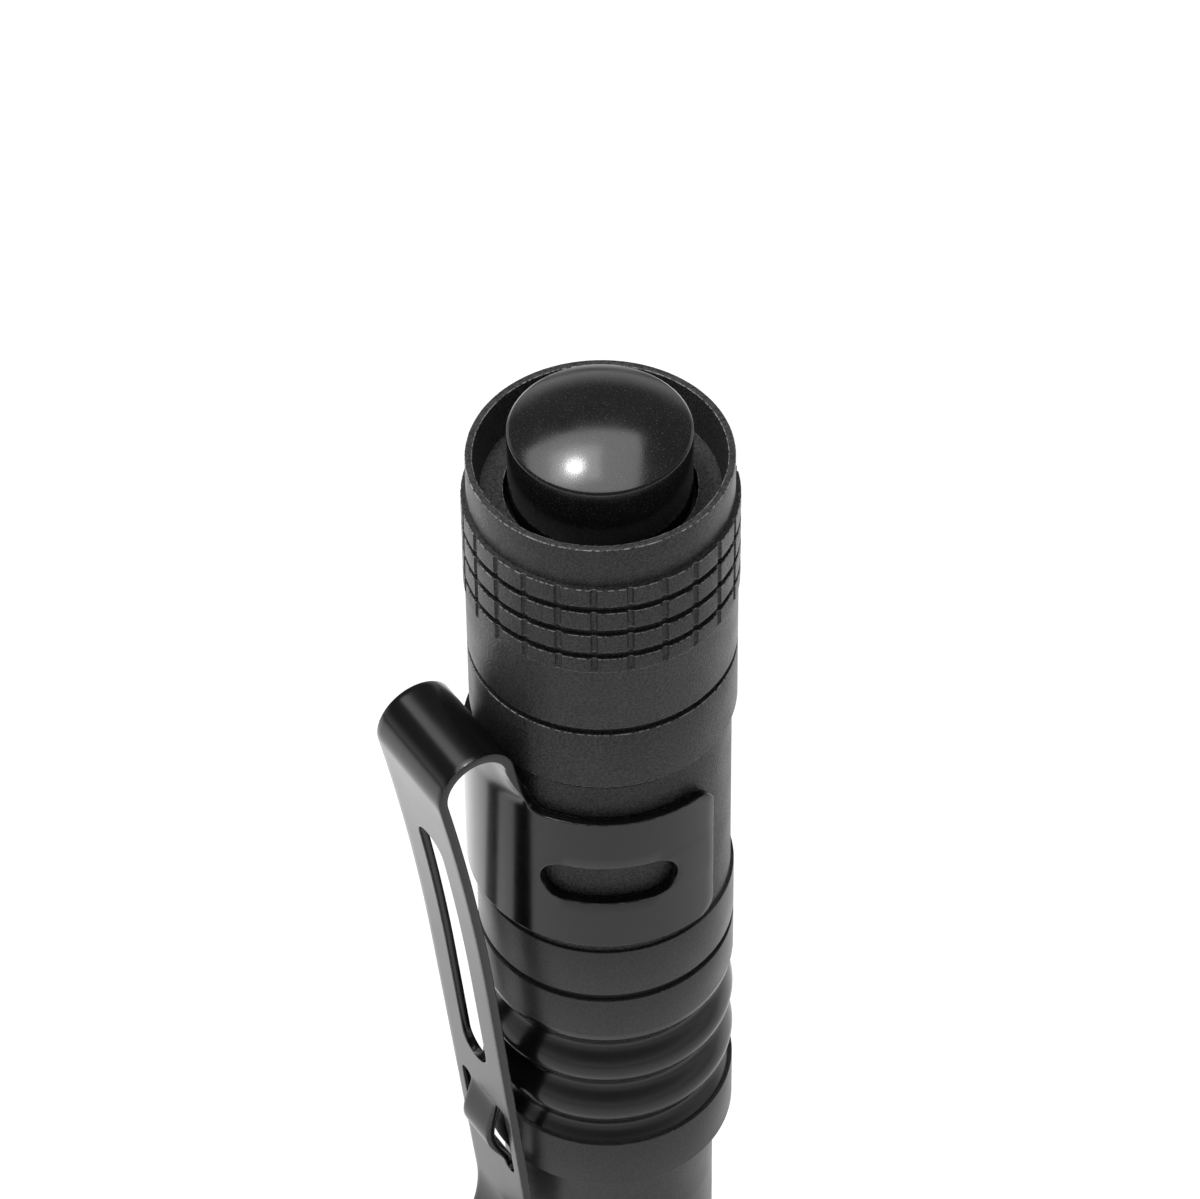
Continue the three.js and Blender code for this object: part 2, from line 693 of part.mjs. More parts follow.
// The strip's inner face as arcs: each has a length and the angle it turns through, outwards over the top.
function clipArcs() {
  const bow = radians(CLIP_ARM_BOW);
  const neckReach = (CLIP_NECK_EASE / 2 + CLIP_NECK_RISE) * Math.sin(neckLean);
  const bendReach = CLIP_BEND_RADIUS * (1 + Math.cos(neckLean));
  const armStart = bandRadius + neckReach + bendReach;
  const atFoot = ringRadius + ARM_GAP + CLIP_THICKNESS;
  const neckTop = capEnd - CLIP_DROP + neckRun;
  let armLean = 0;
  for (let i = 0; i < LEAN_ROUNDS; i += 1) {
    const bendDrop = CLIP_BEND_RADIUS * (Math.sin(neckLean) + Math.sin(armLean));
    const armRun = neckTop - bendDrop - footEnd;
    armLean = Math.atan((armStart - atFoot) / armRun) + bow * (1 - CLIP_BOW_LENGTH / (2 * armRun));
  }
  const bendTurn = Math.PI + armLean - neckLean;
  return [
    { length: CLIP_BAND_HEIGHT, turn: 0 },
    { length: CLIP_NECK_EASE, turn: neckLean },
    { length: CLIP_NECK_RISE, turn: 0 },
    { length: CLIP_BEND_RADIUS * bendTurn, turn: bendTurn },
    { length: CLIP_BOW_LENGTH, turn: -bow },
    { length: CLIP_ARM_LENGTH - CLIP_BOW_LENGTH, turn: 0 },
    { length: CLIP_TIP_LENGTH, turn: -radians(CLIP_TIP_FLARE) },
  ];
}

function clipBlank(armStart) {
  const bandHalf = bandRadius * radians(CLIP_WRAP / 2);
  const neckHalf = CLIP_NECK_WIDTH / 2;
  const tipHalf = CLIP_TIP_WIDTH / 2;
  const corner = CLIP_BAND_CORNER;
  const end = armStart + CLIP_ARM_LENGTH + CLIP_TIP_LENGTH;
  const right = Math.PI / 2;
  const blank = new THREE.Shape();
  blank.moveTo(0, 0);
  blank.absarc(bandHalf - corner, corner, corner, -right, 0, false);
  blank.absarc(bandHalf - corner, CLIP_BAND_HEIGHT - corner, corner, 0, right, false);
  const filletX = neckHalf + CLIP_NECK_FILLET;
  const filletY = CLIP_BAND_HEIGHT + CLIP_NECK_FILLET;
  blank.absarc(filletX, filletY, CLIP_NECK_FILLET, -right, -2 * right, true);
  blank.lineTo(neckHalf, armStart);
  blank.absarc(tipHalf - CLIP_TIP_CORNER, end - CLIP_TIP_CORNER, CLIP_TIP_CORNER, 0, right, false);
  blank.absarc(CLIP_TIP_CORNER - tipHalf, end - CLIP_TIP_CORNER, CLIP_TIP_CORNER, right, 2 * right, false);
  blank.lineTo(-neckHalf, armStart);
  blank.absarc(-filletX, filletY, CLIP_NECK_FILLET, 0, -right, true);
  blank.absarc(corner - bandHalf, CLIP_BAND_HEIGHT - corner, corner, right, 2 * right, false);
  blank.absarc(corner - bandHalf, corner, corner, 2 * right, 3 * right, false);
  const loopStart = armStart + CLIP_LOOP_START;
  const slitCentre = loopHalf() + CLIP_LOOP_SLIT / 2;
  const slotStart = armStart + CLIP_SLOT_START;
  blank.holes.push(slotAlong(0, slotStart, CLIP_SLOT_LENGTH, CLIP_SLOT_WIDTH));
  for (const side of [-1, 1]) {
    blank.holes.push(slotAlong(side * slitCentre, loopStart, CLIP_LOOP_LENGTH, CLIP_LOOP_SLIT));
    const windowStart = side * bandRadius * radians(CLIP_WINDOW_START);
    const windowEnd = side * bandRadius * radians(CLIP_WINDOW_END);
    blank.holes.push(slotAcross(windowStart, windowEnd, CLIP_BAND_HEIGHT / 2, CLIP_WINDOW_HEIGHT));
  }
  return blank;
}

function loopHalf() {
  return CLIP_TIP_WIDTH / 2 - CLIP_LOOP_RAIL - CLIP_LOOP_SLIT;
}

function slotAlong(x, start, length, width) {
  const hole = new THREE.Path();
  hole.absarc(x, start + width / 2, width / 2, Math.PI, 2 * Math.PI, false);
  hole.absarc(x, start + length - width / 2, width / 2, 0, Math.PI, false);
  return hole;
}

function slotAcross(from, to, y, height) {
  const [left, right] = [Math.min(from, to), Math.max(from, to)];
  const hole = new THREE.Path();
  hole.absarc(right - height / 2, y, height / 2, -Math.PI / 2, Math.PI / 2, false);
  hole.absarc(left + height / 2, y, height / 2, Math.PI / 2, 1.5 * Math.PI, false);
  return hole;
}

// Where a point of the blank goes: x across it, y along it, z through its thickness.
function clipBender(arcs, armStart) {
  const bandBottom = capEnd - CLIP_DROP - CLIP_BAND_HEIGHT;
  const loopEase = CLIP_THICKNESS / 2;
  return (point) => {
    let [radius, height, heading] = [bandRadius, bandBottom, 0];
    let left = point.y;
    for (const { length, turn } of arcs) {
      const run = Math.min(left, length);
      const next = heading + (turn * run) / length;
      const bend = turn / length;
      radius += bend ? (Math.cos(heading) - Math.cos(next)) / bend : run * Math.sin(heading);
      height += bend ? (Math.sin(next) - Math.sin(heading)) / bend : run * Math.cos(heading);
      heading = next;
      left -= run;
      if (left <= 0) break;
    }
    const loopShare = (point.y - armStart - CLIP_LOOP_START - loopEase) / (CLIP_LOOP_LENGTH - 2 * loopEase);
    const inLoop = Math.abs(point.x) < loopHalf() + CLIP_LOOP_SLIT / 2 && loopShare > 0 && loopShare < 1;
    const rise = inLoop ? CLIP_LOOP_RISE * Math.sin(Math.PI * loopShare) ** LOOP_SWELL : 0;
    const depth = point.z - rise;
    const flat = THREE.MathUtils.smoothstep(point.y, CLIP_BAND_HEIGHT, CLIP_BAND_HEIGHT + neckRun);
    const curve = (1 - flat) / bandRadius;
    const angle = curve * point.x;
    const sag = curve ? (1 - Math.cos(angle)) / curve : 0;
    const across = curve ? Math.sin(angle) / curve + depth * Math.sin(angle) : point.x;
    const lift = depth * Math.cos(angle) - sag;
    const out = radius + lift * Math.cos(heading);
    const up = height - lift * Math.sin(heading);
    return new THREE.Vector3(-out, -across, up);
  };
}

function chordStep(curvature) {
  return Math.sqrt((8 * BEND_CHORD) / curvature);
}

// Lines across the blank, close together where it bends sharply along the strip.
function clipRows(arcs, armStart) {
  const stretches = [];
  let from = 0;
  for (const { length, turn } of arcs) {
    stretches.push({ from, length, curvature: Math.abs(turn) / length });
    from += length;
  }
  const neckSag = CLIP_NECK_WIDTH ** 2 / (8 * bandRadius);
  stretches.push({ from: CLIP_BAND_HEIGHT, length: neckRun, curvature: (6 * neckSag) / neckRun ** 2 });
  const loopCurvature = LOOP_SWELL * CLIP_LOOP_RISE * (Math.PI / CLIP_LOOP_LENGTH) ** 2;
  stretches.push({ from: armStart + CLIP_LOOP_START, length: CLIP_LOOP_LENGTH, curvature: loopCurvature });
  const rows = [];
  for (const stretch of stretches.filter(({ curvature }) => curvature > 0)) {
    const steps = Math.ceil(stretch.length / chordStep(stretch.curvature));
    for (let i = 0; i < steps; i += 1) rows.push(stretch.from + (stretch.length * (i + 0.5)) / steps);
  }
  return rows.sort((a, b) => a - b);
}

// Lines along the blank, close enough for the band to go round the seat.
function clipColumns() {
  const half = bandRadius * radians(CLIP_WRAP / 2);
  const steps = 2 * Math.ceil(half / chordStep(1 / bandRadius));
  return Array.from({ length: steps - 1 }, (_, i) => (2 * half * (i + 1)) / steps - half);
}

// Splits each triangle that has another triangle's corner part-way along an unmatched edge.
function stitched(triangles, places) {
  const edges = new Set(triangles.flatMap(([a, b, c]) => [`${a} ${b}`, `${b} ${c}`, `${c} ${a}`]));
  const edge = new THREE.Line3();
  const nearest = new THREE.Vector3();
  const partWay = (p, q) => places.findIndex((place, i) => {
    if (i === p || i === q) return false;
    edge.set(places[p], places[q]).closestPointToPoint(place, true, nearest);
    return nearest.distanceTo(place) < MEET;
  });
  const result = triangles.flatMap(([a, b, c]) => {
    for (const [p, q, r] of [[a, b, c], [b, c, a], [c, a, b]]) {
      const middle = edges.has(`${q} ${p}`) ? -1 : partWay(p, q);
      if (middle >= 0) return [[p, middle, r], [middle, q, r]];
    }
    return [[a, b, c]];
  });
  return result.length === triangles.length ? result : stitched(result, places);
}

// Cuts a flat sheet into cells along its rows and columns, bends the corners and joins the cells again.
function bentSheet(flat, rows, columns, bender) {
  const places = [];
  const triangles = [];
  const cornerAt = (place) => {
    const found = places.findIndex((other) => other.distanceTo(place) < MEET);
    return found < 0 ? places.push(place) - 1 : found;
  };
  const between = (levels, i) => [levels[i - 1] ?? -FAR, levels[i] ?? FAR];
  const slab = ([left, right], [low, high]) => toSolid(block(
    [right - left, high - low, FAR],
    [(left + right) / 2, (low + high) / 2, 0],
  ));
  const onCut = (triangle) => (
    rows.some((row) => triangle.every((place) => Math.abs(place.y - row) < MEET))
    || columns.some((column) => triangle.every((place) => Math.abs(place.x - column) < MEET))
  );
  const plate = toSolid(flat);
  for (let i = 0; i <= rows.length; i += 1) {
    const strip = plate.intersect(slab([-FAR, FAR], between(rows, i)));
    for (let k = 0; k <= columns.length; k += 1) {
      const cell = strip.intersect(slab(between(columns, k), [-FAR, FAR])).getMesh();
      for (let t = 0; t < cell.triVerts.length; t += 3) {
        const triangle = Array.from(cell.triVerts.subarray(t, t + 3), (corner) => (
          new THREE.Vector3().fromArray(cell.vertProperties, 3 * corner)
        ));
        if (!onCut(triangle)) triangles.push(triangle.map(cornerAt));
      }
    }
  }
  const geometry = new THREE.BufferGeometry();
  const bent = places.flatMap((place) => bender(place).toArray());
  geometry.setAttribute('position', new THREE.Float32BufferAttribute(bent, 3));
  geometry.setIndex(stitched(triangles, places).flat());
  return geometry;
}

function pocketClip() {
  const arcs = clipArcs();
  const armStart = arcs.slice(0, 4).reduce((sum, arc) => sum + arc.length, 0);
  const blank = clipBlank(armStart);
  const options = { depth: CLIP_THICKNESS, bevelEnabled: false, curveSegments: BLANK_STEPS };
  const flat = new THREE.ExtrudeGeometry(blank, options);
  return bentSheet(flat, clipRows(arcs, armStart), clipColumns(), clipBender(arcs, armStart));
}

const centringInner = (EMITTER_SIDE * Math.SQRT2) / 2 + SLIP;
const driverPartsBack = driverFront - SEAT_GAP;

const head = group('head', [
  ['head_housing', headHousing(), 'anodised'],
  ['lens', lens(), 'glass'],
  [
    'lens_seal_ring',
    sealRing(opticRadius - LENS_SEAL_WIDTH, opticRadius, lensSealFront, LENS_SEAL_HEIGHT),
    'rubber',
  ],
  ['reflector', reflector(), 'mirror'],
  [
    'led_centring_ring',
    plainRing(centringInner, centringInner + CENTRING_WIDTH, centringFront, centringFront + CENTRING_HEIGHT),
    'whitePlastic',
  ],
  ['led_emitter', emitter(), 'phosphor'],
  ['led_board', ledBoard(), 'board'],
  ['heat_sink_pill', pill(), 'brass'],
  ['driver_board', disc(opticRadius, driverFront, driverBack), 'board'],
  [
    'driver_inductor',
    block(
      [INDUCTOR_SIDE, INDUCTOR_SIDE, INDUCTOR_HEIGHT],
      [0, BOARD_PART_REACH, driverPartsBack - INDUCTOR_HEIGHT / 2],
    ),
    'blackPlastic',
  ],
  [
    'driver_chip',
    block(
      [CHIP_LENGTH, CHIP_WIDTH, CHIP_HEIGHT],
      [0, -BOARD_PART_REACH, driverPartsBack - CHIP_HEIGHT / 2],
    ),
    'blackPlastic',
  ],
  ['lead_wire_positive', leadWire(1), 'redWire'],
  ['lead_wire_negative', leadWire(-1), 'blackWire'],
  [
    'cell_contact_post',
    disc(CONTACT_DIAMETER / 2, contactFront, contactFront + CONTACT_HEIGHT, PIN_SIDES),
    'brass',
  ],
]);

const body = group('body', [
  ['barrel', barrel(), 'anodised'],
  ['battery_cell', cell(), 'cellSleeve'],
  ['tail_seal_ring', tailSeal(), 'rubber'],
  ['pocket_clip', pocketClip(), 'springSteel'],
]);

const tail = group('tail', [
  ['tail_cap', tailCap(), 'anodised'],
  ['push_button', button(), 'rubber'],
  [
    'boot_flange',
    plainRing(buttonHole, moduleRadius, flangeFront, flangeFront + FLANGE_THICKNESS),
    'rubber',
  ],
  ['switch_plunger', plunger(), 'whitePlastic'],
  ['switch_return_spring', returnSpring(), 'steel'],
  ['switch_housing', switchHousing(), 'blackPlastic'],
  ['switch_board', disc(moduleRadius, switchBoardFront, switchBoardBack), 'board'],
  ['switch_retaining_ring', retainer(), 'brass'],
  ['tail_contact_spring', tailSpring(), 'steel'],
]);

const flashlight = new THREE.Group();
flashlight.name = 'flashlight';
flashlight.add(head, body, tail);

export default flashlight;
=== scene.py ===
"""Looks of a slim pocket flashlight.

Fine meshes over the CAD frame, procedural finishes, a plain studio and the photo's view.
"""

import logging
import math
from abc import ABC, abstractmethod
from dataclasses import dataclass, field
from enum import Enum
from typing import Callable, ClassVar, Iterable, Optional, Sequence

import bmesh
import bpy
import numpy as np
from mathutils import Matrix, Vector


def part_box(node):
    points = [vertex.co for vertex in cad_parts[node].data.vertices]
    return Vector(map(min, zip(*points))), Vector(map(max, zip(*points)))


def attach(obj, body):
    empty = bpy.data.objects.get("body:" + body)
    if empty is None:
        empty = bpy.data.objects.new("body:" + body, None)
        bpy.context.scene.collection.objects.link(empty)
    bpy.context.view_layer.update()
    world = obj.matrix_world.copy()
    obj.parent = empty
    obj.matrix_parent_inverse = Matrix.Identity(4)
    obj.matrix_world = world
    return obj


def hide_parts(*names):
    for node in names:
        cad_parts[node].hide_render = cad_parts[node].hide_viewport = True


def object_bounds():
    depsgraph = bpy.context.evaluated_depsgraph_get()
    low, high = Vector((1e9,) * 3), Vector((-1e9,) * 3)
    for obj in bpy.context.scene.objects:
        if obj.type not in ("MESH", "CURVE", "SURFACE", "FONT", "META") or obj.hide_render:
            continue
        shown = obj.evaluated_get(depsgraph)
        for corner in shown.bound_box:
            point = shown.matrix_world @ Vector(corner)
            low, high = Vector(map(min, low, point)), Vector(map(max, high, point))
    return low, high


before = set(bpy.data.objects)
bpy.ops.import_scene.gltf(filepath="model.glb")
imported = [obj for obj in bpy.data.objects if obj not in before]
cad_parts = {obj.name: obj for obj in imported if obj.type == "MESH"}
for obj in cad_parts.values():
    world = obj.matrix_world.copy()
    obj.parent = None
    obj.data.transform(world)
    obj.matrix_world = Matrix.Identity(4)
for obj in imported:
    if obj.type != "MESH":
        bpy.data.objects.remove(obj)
CAD_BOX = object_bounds()

LOG = logging.getLogger("flashlight")
MM = 0.001
# Mark of raised edges: real wear on the metal, and a painted highlight on the button
WEAR_AND_HIGHLIGHT = "edge_wear_and_highlight"
SHARP_ANGLE = math.radians(32)
# Points nearer than the gap become one, and edges shorter than a sliver vanish
MERGE_GAP = 0.0008 * MM
SLIVER = 0.0004 * MM
# Most values of a noise lie between these
NOISE_LOW, NOISE_HIGH = 0.3, 0.7

Point = tuple[float, float]
Colour = tuple[float, float, float]
Obj = bpy.types.Object
Socket = bpy.types.NodeSocket


def top_of(node: str) -> float:
    """Height of a CAD node's highest point, in millimetres."""
    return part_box(node)[1].z / MM


def bottom_of(node: str) -> float:
    """Height of a CAD node's lowest point, in millimetres."""
    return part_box(node)[0].z / MM


def radius_of(node: str) -> float:
    """Half a CAD node's width across Y, in millimetres."""
    low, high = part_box(node)
    return (high.y - low.y) / (2 * MM)


def add_object(name: str, data: bpy.types.ID) -> Obj:
    """Adds an object with this data to the scene.

    Args:
        name: The object's name.
        data: Its mesh, lamp or camera.

    Returns:
        The new object.
    """
    obj = bpy.data.objects.new(name, data)
    bpy.context.scene.collection.objects.link(obj)
    return obj


# Node graphs and finishes


class Nodes:
    """A node tree, with a short call to add nodes that are set and joined.

    Args:
        tree: The tree to add to.
    """

    def __init__(self, tree: bpy.types.NodeTree) -> None:
        """Keeps the tree to add to."""
        self.tree = tree

    def add(self, kind: str, *sources: object, **named: object) -> bpy.types.Node:
        """Adds a node.

        Args:
            kind: The node's type name.
            *sources: Outputs or plain values for the first inputs.
            **named: Outputs or plain values for inputs, by names with a capital, where underscores
                stand for spaces. The other names are settings of the node.

        Returns:
            The new node.
        """
        node = self.tree.nodes.new(kind)
        for key, value in named.items():
            if key[0].isupper():
                self.give(value, node.inputs[key.replace("_", " ")])
            else:
                setattr(node, key, value)
        for target, source in zip(node.inputs, sources):
            self.give(source, target)
        return node

    def give(self, source: object, target: Socket) -> None:
        """Joins an output to an input, or sets the input to a plain value.

        Args:
            source: An output or a plain value.
            target: The input.
        """
        if isinstance(source, Socket):
            self.tree.links.new(source, target)
        else:
            target.default_value = source

    def calc(self, operation: str, *values: object) -> Socket:
        """The result of arithmetic on outputs or plain numbers."""
        return self.add("ShaderNodeMath", *values, operation=operation).outputs[0]


class Graph(Nodes):
    """The shading nodes of a material or a world.

    Args:
        owner: The material or world.
        shader: Type name of its shader.
        output: Type name of its output node.
    """

    def __init__(
        self,
        owner: bpy.types.ID,
        shader: str = "ShaderNodeBsdfPrincipled",
        output: str = "ShaderNodeOutputMaterial",
    ) -> None:
        """Clears the tree, then adds its shader, output and coordinates."""
        owner.use_nodes = True
        super().__init__(owner.node_tree)
        self.tree.nodes.clear()
        self.owner = owner
        self.shader = self.add(shader)
        self.add(output, Surface=self.shader.outputs[0])
        self.coords = self.add("ShaderNodeTexCoord").outputs

    def set(self, **values: object) -> None:
        """Feeds the shader's inputs from outputs or plain values; underscores stand for spaces."""
        for key, value in values.items():
            self.give(value, self.shader.inputs[key.replace("_", " ")])

    def noise(self, size_mm: float, detail: float = 2.0, stretch: Colour = (1, 1, 1)) -> Socket:
        """A noise whose blotches are about this size.

        Args:
            size_mm: Size of a blotch in millimetres.
            detail: Octaves of finer noise.
            stretch: Scale along each axis before the noise.

        Returns:
            The noise's value output.
        """
        place = self.add("ShaderNodeMapping", Scale=stretch, Vector=self.coords["Object"]).outputs[0]
        scale = 1 / (size_mm * MM)
        node = self.add("ShaderNodeTexNoise", Scale=scale, Detail=detail, Vector=place)
        return node.outputs["Fac"]

    def ramp(
        self, value: Socket, low: float, high: float, start: object = 0, end: object = 1
    ) -> Socket:
        """Maps a value from low..high to start..end, held at both ends.

        Args:
            value: The value to map.
            low: Where the ramp starts.
            high: Where it ends.
            start: The result up to low.
            end: The result from high on.

        Returns:
            The ramp's output.
        """
        node = self.add("ShaderNodeMapRange", Value=value, From_Min=low, From_Max=high)
        self.give(start, node.inputs["To Min"])
        self.give(end, node.inputs["To Max"])
        return node.outputs["Result"]

    def drift(self, value: Socket, middle: float, below: float, above: float) -> Socket:
        """A level that follows a noise from just below a middle to just above it."""
        return self.ramp(value, NOISE_LOW, NOISE_HIGH, middle - below, middle + above)

    def mix(self, share: Socket, first: object, second: Colour) -> Socket:
        """A colour between two.

        Args:
            share: How much of the second, from 0 to 1.
            first: A colour, or an output.
            second: A colour.

        Returns:
            The mixed colour's output.
        """
        base = first if isinstance(first, Socket) else (*first, 1)
        node = self.add("ShaderNodeMix", data_type="RGBA", A=base, B=(*second, 1), Factor=share)
        return node.outputs["Result"]

    def measure(self, operation: str, *vectors: object) -> Socket:
        """A number from vectors, such as a length or a dot product."""
        return self.add("ShaderNodeVectorMath", *vectors, operation=operation).outputs["Value"]

    def bump(self, height: Socket, depth_mm: float) -> Socket:
        """A bump of this depth."""
        node = self.add("ShaderNodeBump", Strength=1, Distance=depth_mm * MM, Height=height)
        return node.outputs["Normal"]

    def wear_and_highlight(self) -> Socket:
        """The mesh's own mark of its raised edges: their wear, and on the button a painted
        highlight.
        """
        return self.add("ShaderNodeAttribute", attribute_name=WEAR_AND_HIGHLIGHT).outputs["Fac"]

    def seen(self) -> Socket:
        """1 for rays from the camera, also through glass, and 0 for the others."""
        path = self.add("ShaderNodeLightPath").outputs
        return self.calc("MAXIMUM", path["Is Camera Ray"], path["Is Transmission Ray"])


def scaled(colour: Colour, level: float) -> Colour:
    """A colour made darker or paler."""
    return tuple(channel * level for channel in colour)


@dataclass(frozen=True)
class Finish(ABC):
    """A surface finish that makes its own material once.

    Args:
        name: The material's name.
    """

    name: str
    _made: ClassVar[dict[str, bpy.types.Material]] = {}

    @property
    def material(self) -> bpy.types.Material:
        """The finish's material, made at the first call."""
        if self.name not in Finish._made:
            graph = Graph(bpy.data.materials.new(self.name))
            self.paint(graph)
            Finish._made[self.name] = graph.owner
        return Finish._made[self.name]

    def coat(self, mesh: bpy.types.Mesh) -> None:
        """Makes this a mesh's only finish."""
        mesh.materials.clear()
        mesh.materials.append(self.material)

    @abstractmethod
    def paint(self, graph: Graph) -> None:
        """Builds the node tree.

        Args:
            graph: The new material's graph.
        """


@dataclass(frozen=True)
class Anodised(Finish):
    """Dyed aluminium: a speckled grain, a slightly uneven gloss and pale chips on worn edges."""

    colour: Colour = (0.05, 0.05, 0.051)
    worn: Colour = (0.55, 0.55, 0.54)
    roughness: float = 0.42
    drift: Point = (0.04, 0.04)
    grain_mm: float = 0.12
    grain_depth_mm: float = 0.04
    grain_band: Point = (0.35, 0.65)
    cloud_mm: float = 2.5
    chip_mm: float = 0.16
    chip_blur: float = 0.15
    speckle: float = 0.65
    wear_share: float = 0.58
    index: float = 1.42

    def paint(self, graph: Graph) -> None:
        """Builds the node tree.

        Args:
            graph: The new material's graph.
        """
        grain = graph.noise(self.grain_mm, 3)
        intact = 1 - self.wear_share
        chips = graph.ramp(graph.noise(self.chip_mm, 4), intact, intact + self.chip_blur)
        dark, pale = scaled(self.colour, 1 - self.speckle), scaled(self.colour, 1 + self.speckle)
        dyed = graph.mix(graph.ramp(grain, *self.grain_band), dark, pale)
        graph.set(
            Base_Color=graph.mix(graph.calc("MULTIPLY", graph.wear_and_highlight(), chips), dyed, self.worn),
            Roughness=graph.drift(graph.noise(self.cloud_mm), self.roughness, *self.drift),
            Normal=graph.bump(grain, self.grain_depth_mm),
            IOR=self.index,
        )


@dataclass(frozen=True)
class CoatedSteel(Finish):
    """Black-coated spring steel: a satin gloss, its edges shaded round and rubbed in places."""

    colour: Colour = (0.006, 0.006, 0.0065)
    worn: Colour = (0.3, 0.3, 0.3)
    roughness: float = 0.19
    drift: Point = (0.01, 0.02)
    edge_mm: float = 0.1
    edge_samples: int = 6
    edge_band: Point = (0.8, 0.98)
    rub_mm: float = 0.5
    rub_band: Point = (0.45, 0.6)
    cloud_mm: float = 2.0
    index: float = 1.6

    def paint(self, graph: Graph) -> None:
        """Builds the node tree.

        Args:
            graph: The new material's graph.
        """
        radius = self.edge_mm * MM
        bevel = graph.add("ShaderNodeBevel", samples=self.edge_samples, Radius=radius)
        rounded = bevel.outputs["Normal"]
        flat = graph.add("ShaderNodeNewGeometry").outputs["Normal"]
        edges = graph.ramp(graph.measure("DOT_PRODUCT", rounded, flat), *self.edge_band, 1, 0)
        rubs = graph.ramp(graph.noise(self.rub_mm, 3), *self.rub_band)
        rubbed = graph.calc("MULTIPLY", edges, rubs)
        graph.set(
            Base_Color=graph.mix(rubbed, self.colour, self.worn),
            Roughness=graph.drift(graph.noise(self.cloud_mm), self.roughness, *self.drift),
            Normal=rounded,
            IOR=self.index,
        )


@dataclass(frozen=True)
class Moulded(Finish):
    """Moulded rubber or plastic with a faint skin texture; grey dust and a painted edge highlight if
    asked for.
    """

    colour: Colour
    roughness: float = 0.3
    drift: Point = (0.03, 0.04)
    skin_mm: float = 0.1
    skin_depth_mm: float = 0.002
    cloud_mm: float = 1.6
    cloud_scale: float = 1.15
    cloud_lift: float = 0.002
    speck_mm: float = 0.07
    speck_band: Point = (0.62, 0.76)
    dust: float = 0.0
    edge: float = 0.0
    index: float = 1.5

    def paint(self, graph: Graph) -> None:
        """Builds the node tree.

        Args:
            graph: The new material's graph.
        """
        clouds = graph.noise(self.cloud_mm)
        pale = tuple(min(1.0, c + self.cloud_lift) for c in scaled(self.colour, self.cloud_scale))
        base = graph.mix(clouds, self.colour, pale)
        if self.dust:
            specks = graph.ramp(graph.noise(self.speck_mm, 1), *self.speck_band)
            base = graph.mix(specks, base, (self.dust,) * 3)
        # A paler colour on the raised edges: a painted highlight, on the button along its dome's rim
        if self.edge:
            base = graph.mix(graph.wear_and_highlight(), base, (self.edge,) * 3)
        graph.set(
            Base_Color=base,
            Roughness=graph.drift(clouds, self.roughness, *self.drift),
            Normal=graph.bump(graph.noise(self.skin_mm, 3), self.skin_depth_mm),
            IOR=self.index,
        )


@dataclass(frozen=True)
class Turned(Finish):
    """Bright metal with fine turning or drawing marks."""

    colour: Colour
    roughness: float = 0.25
    drift: Point = (0.05, 0.08)
    marks_mm: float = 0.12
    marks_depth_mm: float = 0.002
    marks_stretch: Colour = (0.2, 0.2, 1.0)
    cloud_mm: float = 1.5
    dulling: float = 0.8

    def paint(self, graph: Graph) -> None:
        """Builds the node tree.

        Args:
            graph: The new material's graph.
        """
        marks = graph.noise(self.marks_mm, stretch=self.marks_stretch)
        dull = scaled(self.colour, self.dulling)
        graph.set(
            Base_Color=graph.mix(graph.noise(self.cloud_mm), self.colour, dull),
            Roughness=graph.drift(marks, self.roughness, *self.drift),
            Normal=graph.bump(marks, self.marks_depth_mm),
            Metallic=1.0,
        )


@dataclass(frozen=True)
class Mirror(Finish):
    """Vacuum-metallised plastic, very slightly clouded."""

    colour: Colour = (0.9, 0.91, 0.92)
    cloudy: Colour = (0.86, 0.87, 0.89)
    roughness: float = 0.03
    drift: Point = (0.0, 0.04)
    cloud_mm: float = 1.2

    def paint(self, graph: Graph) -> None:
        """Builds the node tree.

        Args:
            graph: The new material's graph.
        """
        clouds = graph.noise(self.cloud_mm)
        graph.set(
            Base_Color=graph.mix(clouds, self.colour, self.cloudy),
            Roughness=graph.drift(clouds, self.roughness, *self.drift),
            Metallic=1.0,
        )


@dataclass(frozen=True)
class Glass(Finish):
    """Clear window glass."""

    colour: Colour = (0.97, 0.99, 0.985)
    cloudy: Colour = (0.95, 0.98, 0.975)
    roughness: float = 0.01
    drift: Point = (0.0, 0.02)
    cloud_mm: float = 3.0
    index: float = 1.5

    def paint(self, graph: Graph) -> None:
        """Builds the node tree.

        Args:
            graph: The new material's graph.
        """
        clouds = graph.noise(self.cloud_mm, 1)
        graph.set(
            Base_Color=graph.mix(clouds, self.colour, self.cloudy),
            Roughness=graph.drift(clouds, self.roughness, *self.drift),
            Transmission_Weight=1.0,
            IOR=self.index,
        )


@dataclass(frozen=True)
class Board(Finish):
    """Solder mask with copper showing through as slightly paler tracks."""

    colour: Colour = (0.012, 0.09, 0.035)
    track: Colour = (0.03, 0.17, 0.07)
    track_mm: float = 1.1
    track_depth_mm: float = 0.02
    track_band: Point = (0.48, 0.52)
    roughness: float = 0.45
    track_roughness: float = 0.35

    def paint(self, graph: Graph) -> None:
        """Builds the node tree.

        Args:
            graph: The new material's graph.
        """
        tracks = graph.ramp(graph.noise(self.track_mm, 0, (1, 1, 0)), *self.track_band)
        graph.set(
            Base_Color=graph.mix(tracks, self.colour, self.track),
            Roughness=graph.ramp(tracks, 0, 1, self.roughness, self.track_roughness),
            Normal=graph.bump(tracks, self.track_depth_mm),
        )


